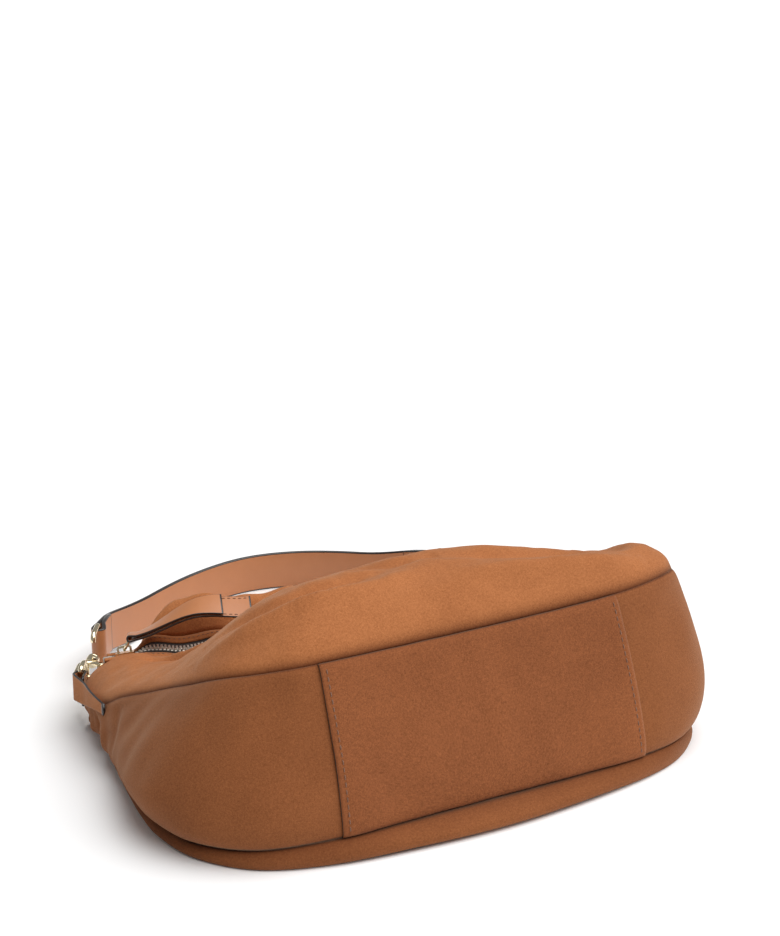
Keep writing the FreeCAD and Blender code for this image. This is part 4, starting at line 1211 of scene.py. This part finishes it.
class HOBO_OT_strap(bpy.types.Operator):
    """Run the flat strap from eye to eye, looped round each one and sewn back on itself"""
    bl_idname = "hobo.strap"
    bl_label = "Strap"

    def execute(self, context):
        thick = context.scene.hobo_sizes.strap
        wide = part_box("strap")[1][2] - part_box("strap")[0][2]
        wide = min(wide, .030)
        radius = .0024 + thick / 2
        lap = .034
        ends = {}
        for side in ("left", "right"):
            foot, along = EARS[side]
            lap_side = across_of(side) * (1 if side == "left" else -1)
            bar = foot + along * EYE_BAR
            line = []
            for distance in np.linspace(lap, .006, 16):
                line.append(bar + along * distance + lap_side * (thick * .5 + (radius - thick * .5)
                                                                 * float(smooth(1 - distance / .012))))
            for angle in np.linspace(0, math.pi, 16):
                line.append(bar + radius * (lap_side * math.cos(angle) - along * math.sin(angle)))
            for distance in (.004, .009, .014):
                line.append(bar + along * distance - lap_side * (thick * .5 + (radius - thick * .5)
                                                                 * float(smooth(1 - distance / .012))))
            ends[side] = line
        route = [np.array([x, y, EARS["left"][0][2]]) for x, y in STRAP_ROUTE]
        middle = [ends["left"][-1]] + route + [ends["right"][-1]]
        route_line = curve_through(middle, evenly(middle, 180))
        path = np.array(ends["left"][:-1] + list(route_line) + ends["right"][:-1][::-1])
        floor = strap_height(path[:, 1], EARS["left"][0][2] - wide / 2)
        path[:, 2] = floor + wide / 2
        tangent = unit(np.gradient(path, axis=0) * [1, 1, 0])
        normal = np.cross(tangent, UP)
        rise = np.broadcast_to(UP, path.shape)
        profile = strip_profile(thick, wide - .0004, thick * .33)
        strap = swept("strap_leather_band", path, profile, normal, rise)
        strap.data.materials.append(material("strap"))
        strap.data.materials.append(material("paint"))
        paint_edges(strap, len(profile))
        finish_piece(strap, "strap", (), ("strap",))
        rows = []
        count = len(path)
        for start, end in ((0, 14), (count - 14, count), (32, 46), (count - 46, count - 32)):
            part = slice(start, end)
            for edge in (-STRAP_STITCH_EDGE, STRAP_STITCH_EDGE):
                rows.append((path[part] + normal[part] * thick / 2 + UP * edge, normal[part]))
        thread = stitches("strap_stitches", rows, .0030, .00034, .0042)
        finish_piece(thread, "strap", (material("thread"),))
        return {"FINISHED"}


# ---------------------------------------------------------------- stage

CAMERA_PLACE = Vector((-.7340, -1.1443, .7029))
CAMERA_TURN, CAMERA_TILT = math.radians(29.79), math.radians(18.94)
CAMERA_LENS = 90.54


class HOBO_OT_stage(bpy.types.Operator):
    """Set the pale floor, the soft lights and the camera"""
    bl_idname = "hobo.stage"
    bl_label = "Stage"

    def execute(self, context):
        scene = context.scene
        scene.view_settings.view_transform = "Standard"
        bpy.ops.object.select_all(action="DESELECT")
        bpy.ops.mesh.primitive_plane_add(size=8, location=(0, 0, 0))
        floor = context.active_object
        floor.name = "floor"
        pale, tree, shader = new_material("floor", .9)
        cloud = node(tree, "ShaderNodeTexNoise", (-600, 0), Scale=3.0)
        tone = two_tone(tree, (-300, 0), (.90, .90, .90), (.93, .93, .93), cloud.outputs["Fac"])
        tree.links.new(tone, shader.inputs["Base Color"])
        floor.data.materials.append(pale)
        self.surroundings(scene)
        for name, turn, strength, softness in (("key", (14, 20, 0), 3.5, 75), ("side", (40, 66, 0), .25, 40)):
            lamp = bpy.data.lights.new(name, "SUN")
            lamp.energy = strength
            lamp.angle = math.radians(softness)
            light = bpy.data.objects.new(name, lamp)
            light.location = (.6, .2, 1.2)
            light.rotation_euler = [math.radians(a) for a in turn]
            scene.collection.objects.link(light)
        camera = bpy.data.objects.new("camera", bpy.data.cameras.new("camera"))
        camera.data.lens = CAMERA_LENS
        camera.data.sensor_width = 36
        back = Vector((-math.sin(CAMERA_TURN) * math.cos(CAMERA_TILT),
                       -math.cos(CAMERA_TURN) * math.cos(CAMERA_TILT), math.sin(CAMERA_TILT)))
        camera.location = CAMERA_PLACE
        camera.rotation_euler = back.to_track_quat("Z", "Y").to_euler()
        scene.collection.objects.link(camera)
        scene.camera = camera
        return {"FINISHED"}

    def surroundings(self, scene):
        """White to the camera, and dimmer as light on the bag."""
        world = bpy.data.worlds.new("studio")
        world.use_nodes = True
        tree = world.node_tree
        shade = tree.nodes["Background"]
        ray = node(tree, "ShaderNodeLightPath", (-500, 0))
        strength = spread_between(tree, (-250, 0), (0, 1), (.26, 1.1))
        tree.links.new(ray.outputs["Is Camera Ray"], strength.inputs["Value"])
        tree.links.new(strength.outputs["Result"], shade.inputs["Strength"])
        shade.inputs["Color"].default_value = (1, 1, 1, 1)
        scene.world = world


# ---------------------------------------------------------------- panel and registration

STEPS_IN_ORDER = ("shell", "lining", "patch", "zip", "pull_tab", "ears", "fittings", "strap", "stage")


class HOBO_PT_panel(bpy.types.Panel):
    """The bag's pieces, sizes and colours in the 3D view's sidebar"""
    bl_idname = "HOBO_PT_panel"
    bl_label = "Hobo Bag"
    bl_space_type = "VIEW_3D"
    bl_region_type = "UI"
    bl_category = "Hobo Bag"

    def draw(self, context):
        layout = self.layout
        for group in (context.scene.hobo_sizes, context.scene.hobo_colours):
            for name in group.__annotations__:
                layout.prop(group, name)
        for step in STEPS_IN_ORDER:
            layout.operator("hobo." + step)


CLASSES = (HoboColours, HoboSizes, HOBO_OT_shell, HOBO_OT_lining, HOBO_OT_patch, HOBO_OT_zip,
           HOBO_OT_pull_tab, HOBO_OT_ears, HOBO_OT_fittings, HOBO_OT_strap, HOBO_OT_stage, HOBO_PT_panel)


def register():
    for item in CLASSES:
        bpy.utils.register_class(item)
    bpy.types.Scene.hobo_colours = PointerProperty(type=HoboColours)
    bpy.types.Scene.hobo_sizes = PointerProperty(type=HoboSizes)


def unregister():
    del bpy.types.Scene.hobo_sizes
    del bpy.types.Scene.hobo_colours
    for item in reversed(CLASSES):
        bpy.utils.unregister_class(item)


def main():
    register()
    for step in STEPS_IN_ORDER:
        getattr(bpy.ops.hobo, step)()


if __name__ == "__main__":
    main()
